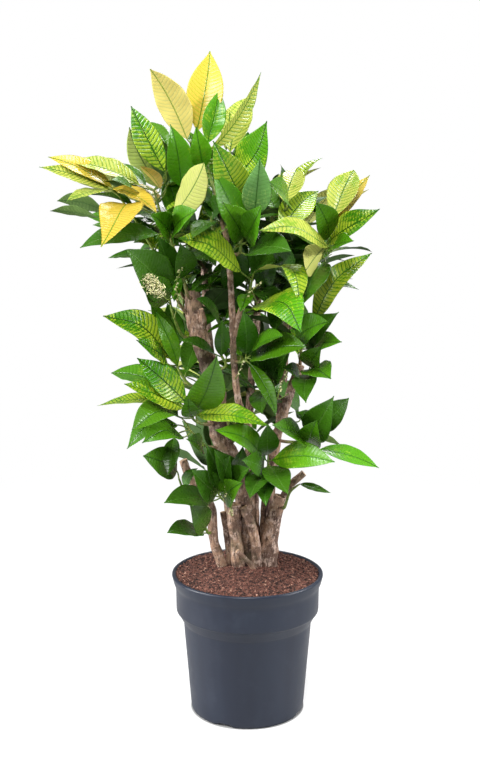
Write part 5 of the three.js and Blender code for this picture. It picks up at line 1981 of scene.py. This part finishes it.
@dataclass
class NurseryPot:
    """The moulded container: rolled lip, flared collar, step, tapered body and drain notches.

    Lengths are in mm and angles.

    Attributes:
        profile: (radius, height) in mm from the underside's middle round to the inside floor's.
        step: Greatest distance between two rings of the shell.
        sides: Faces round the axis.
        notches: Bearing of each drain notch.
        notch_inside: Radius inside which the foot isn't notched.
        notch_half_width: Half a notch's width.
        notch_height: A notch's height.
        notch_slope: Share of its height that a notch's roof rises outwards.
        notch_corners: Power that makes a notch's corners square.
    """

    profile: tuple[Pair, ...] = (
        (0, 1.2), (60, 1.2), (80, 1.2), (82, 0), (87, 0), (89.2, 1.2), (90.4, 4), (91.8, 20),
        (96.6, 80), (100.6, 128), (101.6, 143), (101.9, 146.4), (102.8, 147.6), (103.2, 148.4),
        (110.2, 161.6), (111.4, 163.4), (112.8, 164.4), (113.2, 165.6), (113.4, 168), (113.8, 196),
        (114.1, 201), (114.6, 204), (115.5, 206.5), (116.6, 209), (117.6, 212), (118.6, 216), (119.4, 219.4),
        (120, 221.9), (119.7, 223.9), (118.2, 225),
        (116.4, 224.9), (114.4, 224), (112.6, 221.5), (111.8, 217), (111.3, 205), (111.3, 172),
        (109, 162), (99.8, 146), (98.6, 130), (88.6, 8), (80, 3), (0, 3),
    )
    step: float = 8
    sides: int = 144
    notches: tuple[float, ...] = (-114, -24, 66, 156)
    notch_inside: float = 84
    notch_half_width: float = 15
    notch_height: float = 6.5
    notch_slope: float = 0.4
    notch_corners: int = 6

    def build(self) -> None:
        """Turns the pot and opens the drain notches at its foot."""
        pot = lathe("pot_shell", fine_profile(self.profile, self.step), self.sides)
        pot.data.materials.append(PotPlastic().made)
        roof = self.notch_height * MM
        for vertex in pot.data.vertices:
            bearing = math.degrees(math.atan2(vertex.co.y, vertex.co.x))
            radius = math.hypot(vertex.co.x, vertex.co.y) / MM
            for notch in self.notches:
                swing = (bearing - notch + 180) % 360 - 180
                aside = abs(math.radians(swing) * radius) / self.notch_half_width
                if radius > self.notch_inside and vertex.co.z < roof and aside < 1:
                    rise = roof * (1 - aside**self.notch_corners)
                    outward = 1 - self.notch_slope + self.notch_slope * vertex.co.z / roof
                    vertex.co.z = max(vertex.co.z, rise * outward)
        settle(pot, "pot", "pot")


@dataclass
class SoilBody:
    """The potting mix, mounded a little, with crumbs and fibres on it.

    Lengths are.

    Attributes:
        edge: Radius of its top.
        height: Height of its top at the edge.
        mound: How much higher its middle is.
        rings: Rings of faces on its top.
        sides: Faces round the axis.
        step: Greatest distance between two rings of its wall.
        uneven: How far a point of its top is moved up or down.
        lump: Place of a large dark lump near the back edge.
        lump_line: The line that the lump's pieces stand on.
    """

    edge: float = 110.6
    height: float = 218
    mound: float = 12
    rings: int = 26
    sides: int = 96
    step: float = 40
    uneven: float = 1.1
    lump: Place = (48, 92, 224)
    lump_line: Place = (5, 0, 1)

    def build(self) -> None:
        """Lays the mix, its crumbs, its fibres and a few lumps of bark."""
        lower = [(0, 4), (86, 4), (97, 140), (self.edge, 172), (self.edge, self.height - 3)]
        shares = [i / self.rings for i in range(self.rings + 1)]
        mound = [(self.edge * (1 - t), self.height + self.mound * math.sin(math.pi / 2 * t)) for t in shares]
        soil = lathe("soil_body", fine_profile(lower, self.step) + mound, self.sides)
        soil.data.materials.append(PottingMix().made)
        rng = Random(SEED)
        for vertex in soil.data.vertices:
            if vertex.co.z > (self.height - 1) * MM:
                vertex.co.z += rng.uniform(-self.uneven, self.uneven) * MM
        settle(soil, "soil", "soil")
        strewer, finish = Strewer(), CoirCrumb().made
        for name, sizes in {
            "soil_crumbs": {"Spacing": 0.0027, "Size": 0.0018},
            "soil_fibres": {"Spacing": 0.009, "Size": 0.0009, "Stretch": (6.0, 0.7, 0.7), "Seed": SEED + 5},
            "bark_lumps": {"Spacing": 0.034, "Size": 0.0062, "Stretch": (1.2, 1.0, 0.6), "Seed": SEED + 9},
        }.items():
            settle(strewer.grow(name, self.top(soil), Finish=finish, **sizes), "soil")
        spot = Vector(self.lump)
        lump = chain_mesh("large_lump", [Chain([spot, spot + Vector(self.lump_line)])])
        values = {"Spacing": 0.003, "Size": 0.0042, "Spread": 0.0008, "Finish": finish}
        settle(strewer.grow("large_lump", lump, **values), "soil")

    def top(self, soil: Object) -> Mesh:
        """Copies the upper surface of the mix."""
        top = bpy.data.meshes.new("soil_top")
        keep = [p for p in soil.data.polygons if p.center.z > (self.height - 1) * MM]
        corners = [tuple(soil.data.vertices[i].co) for p in keep for i in p.vertices]
        starts = np.cumsum([0] + [len(p.vertices) for p in keep])
        top.from_pydata(corners, [], [tuple(range(a, b)) for a, b in zip(starts, starts[1:])])
        return top


# ---- Studio


@dataclass
class Studio:
    """The floor, the white surroundings, the soft lamps and the camera.

    Lengths are.

    Attributes:
        floor_half: Half the floor's side.
        pale: From how far out to how far out the floor grows white.
        glow: How white it looks, near the pot and far from it.
        bounce: Its brightness as a light, as a share of its look.
        foot: From how far out to how far out its glow comes back round the pot's edge; inside that, the
            floor is left dark as a painted contact shadow.
        grey: The floor's own colour near the pot.
        grey_fade: From how far out to how far out that colour fades.
        sky: The surroundings as a light, before the plant and behind it.
        aim_height: Height that the lamps point at.
        lamps: Place, power in watts and width of each lamp, by name.
    """

    floor_half: float = 9.0
    pale: Pair = (0.3, 1.6)
    glow: Pair = (0.62, 1.0)
    bounce: float = 0.3
    foot: Pair = (0.0902, 0.0922)
    grey: float = 0.4
    grey_fade: Pair = (0.35, 1.6)
    sky: Pair = (0.08, 0.36)
    aim_height: float = 0.55
    lamps: dict[str, tuple[Place, float, float]] = field(
        default_factory=lambda: {
            "front": ((-0.4, -2.2, 2.1), 44.0, 0.8),
            "left": ((-2.2, -0.7, 1.4), 60.0, 0.7),
            "right": ((2.2, -0.4, 1.2), 46.0, 0.6),
            "high": ((0.1, -0.8, 2.8), 30.0, 0.5),
            "low_left": ((-2.0, -0.25, 0.5), 26.0, 0.8),
            "low_right": ((1.9, -0.9, 0.4), 9.0, 0.7),
            "back": ((0.3, 1.3, 2.2), 20.0, 0.6),
        }
    )

    def build(self) -> None:
        """Sets up the floor, the surroundings, the lamps and the camera."""
        self.lay_floor()
        self.surround()
        for name, (spot, power, width) in self.lamps.items():
            lamp = bpy.data.lights.new(name, "AREA")
            lamp.energy, lamp.size = power, width
            item = placed(name, lamp)
            item.location = spot
            aim = Vector((0, 0, self.aim_height)) - Vector(spot)
            item.rotation_euler = aim.to_track_quat("-Z", "Y").to_euler()
        self.aim()

    def lay_floor(self) -> None:
        """Lays a pale floor that fades to white away from the pot, with a painted contact shadow under the
        pot's edge.
        """
        size = self.floor_half
        mesh = bpy.data.meshes.new("floor")
        corners = ((-size, -size, 0), (size, -size, 0), (size, size, 0), (-size, size, 0))
        mesh.from_pydata(corners, [], [(0, 1, 2, 3)])
        made = bpy.data.materials.new("studio_floor")
        made.use_nodes = True
        sheet = Sheet(made.node_tree)
        shader = made.node_tree.nodes["Principled BSDF"]
        spot = sheet.add("ShaderNodeTexCoord").outputs["Object"]
        away = sheet.add("ShaderNodeVectorMath", {0: spot}, operation="LENGTH").outputs["Value"]
        camera = sheet.add("ShaderNodeLightPath").outputs["Is Camera Ray"]
        seen = sheet.math("MAXIMUM", camera, self.bounce)
        glow = sheet.math("MULTIPLY", sheet.ramp(away, *self.pale, self.glow), seen)
        # Painted contact shadow: the floor doesn't glow under the pot's edge, so its drain notches and the
        # foot's rim look dark.
        glow = sheet.math("MULTIPLY", sheet.ramp(away, *self.foot), glow)
        sheet.join(glow, shader, "Emission Strength")
        dull = sheet.blend(sheet.ramp(away, *self.grey_fade), (*(self.grey,) * 3, 1), (0, 0, 0, 1))
        sheet.join(dull, shader, "Base Color")
        shader.inputs["Roughness"].default_value = 1.0
        shader.inputs["Specular IOR Level"].default_value = 0.0
        shader.inputs["Emission Color"].default_value = (1, 1, 1, 1)
        mesh.materials.append(made)
        placed("floor", mesh)

    def surround(self) -> None:
        """Makes the surroundings white to look at and dimmer as a light."""
        world = bpy.data.worlds.new("studio")
        bpy.context.scene.world = world
        world.use_nodes = True
        sky = Sheet(world.node_tree)
        seen = sky.add("ShaderNodeLightPath").outputs["Is Camera Ray"]
        way = sky.add("ShaderNodeTexCoord").outputs["Generated"]
        depth = sky.add("ShaderNodeSeparateXYZ", {0: way}).outputs[1]
        light = sky.ramp(depth, -0.7, 0.5, self.sky)
        background = world.node_tree.nodes["Background"]
        background.inputs["Color"].default_value = (1, 1, 1, 1)
        sky.join(sky.math("MAXIMUM", seen, light), background, "Strength")

    def aim(self) -> None:
        """Places the camera where the front view is read from."""
        camera = bpy.data.cameras.new("camera")
        camera.lens = FrontView.focal * camera.sensor_width / FrontView.tall
        item = placed("camera", camera)
        item.location = (FrontView.shift * MM, -FrontView.distance * MM, FrontView.height * MM)
        item.rotation_euler = (math.pi / 2 - FrontView.tilt, 0, 0)
        bpy.context.scene.camera = item
        bpy.context.scene.view_settings.view_transform = "Standard"


def main() -> None:
    """Builds the croton and its studio."""
    logging.basicConfig(level=logging.INFO)
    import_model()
    Studio().build()
    NurseryPot().build()
    SoilBody().build()
    CaneClump().build()
    twigs = Foliage().build()
    FlowerSprays().build(twigs)


if __name__ == "__main__":
    main()
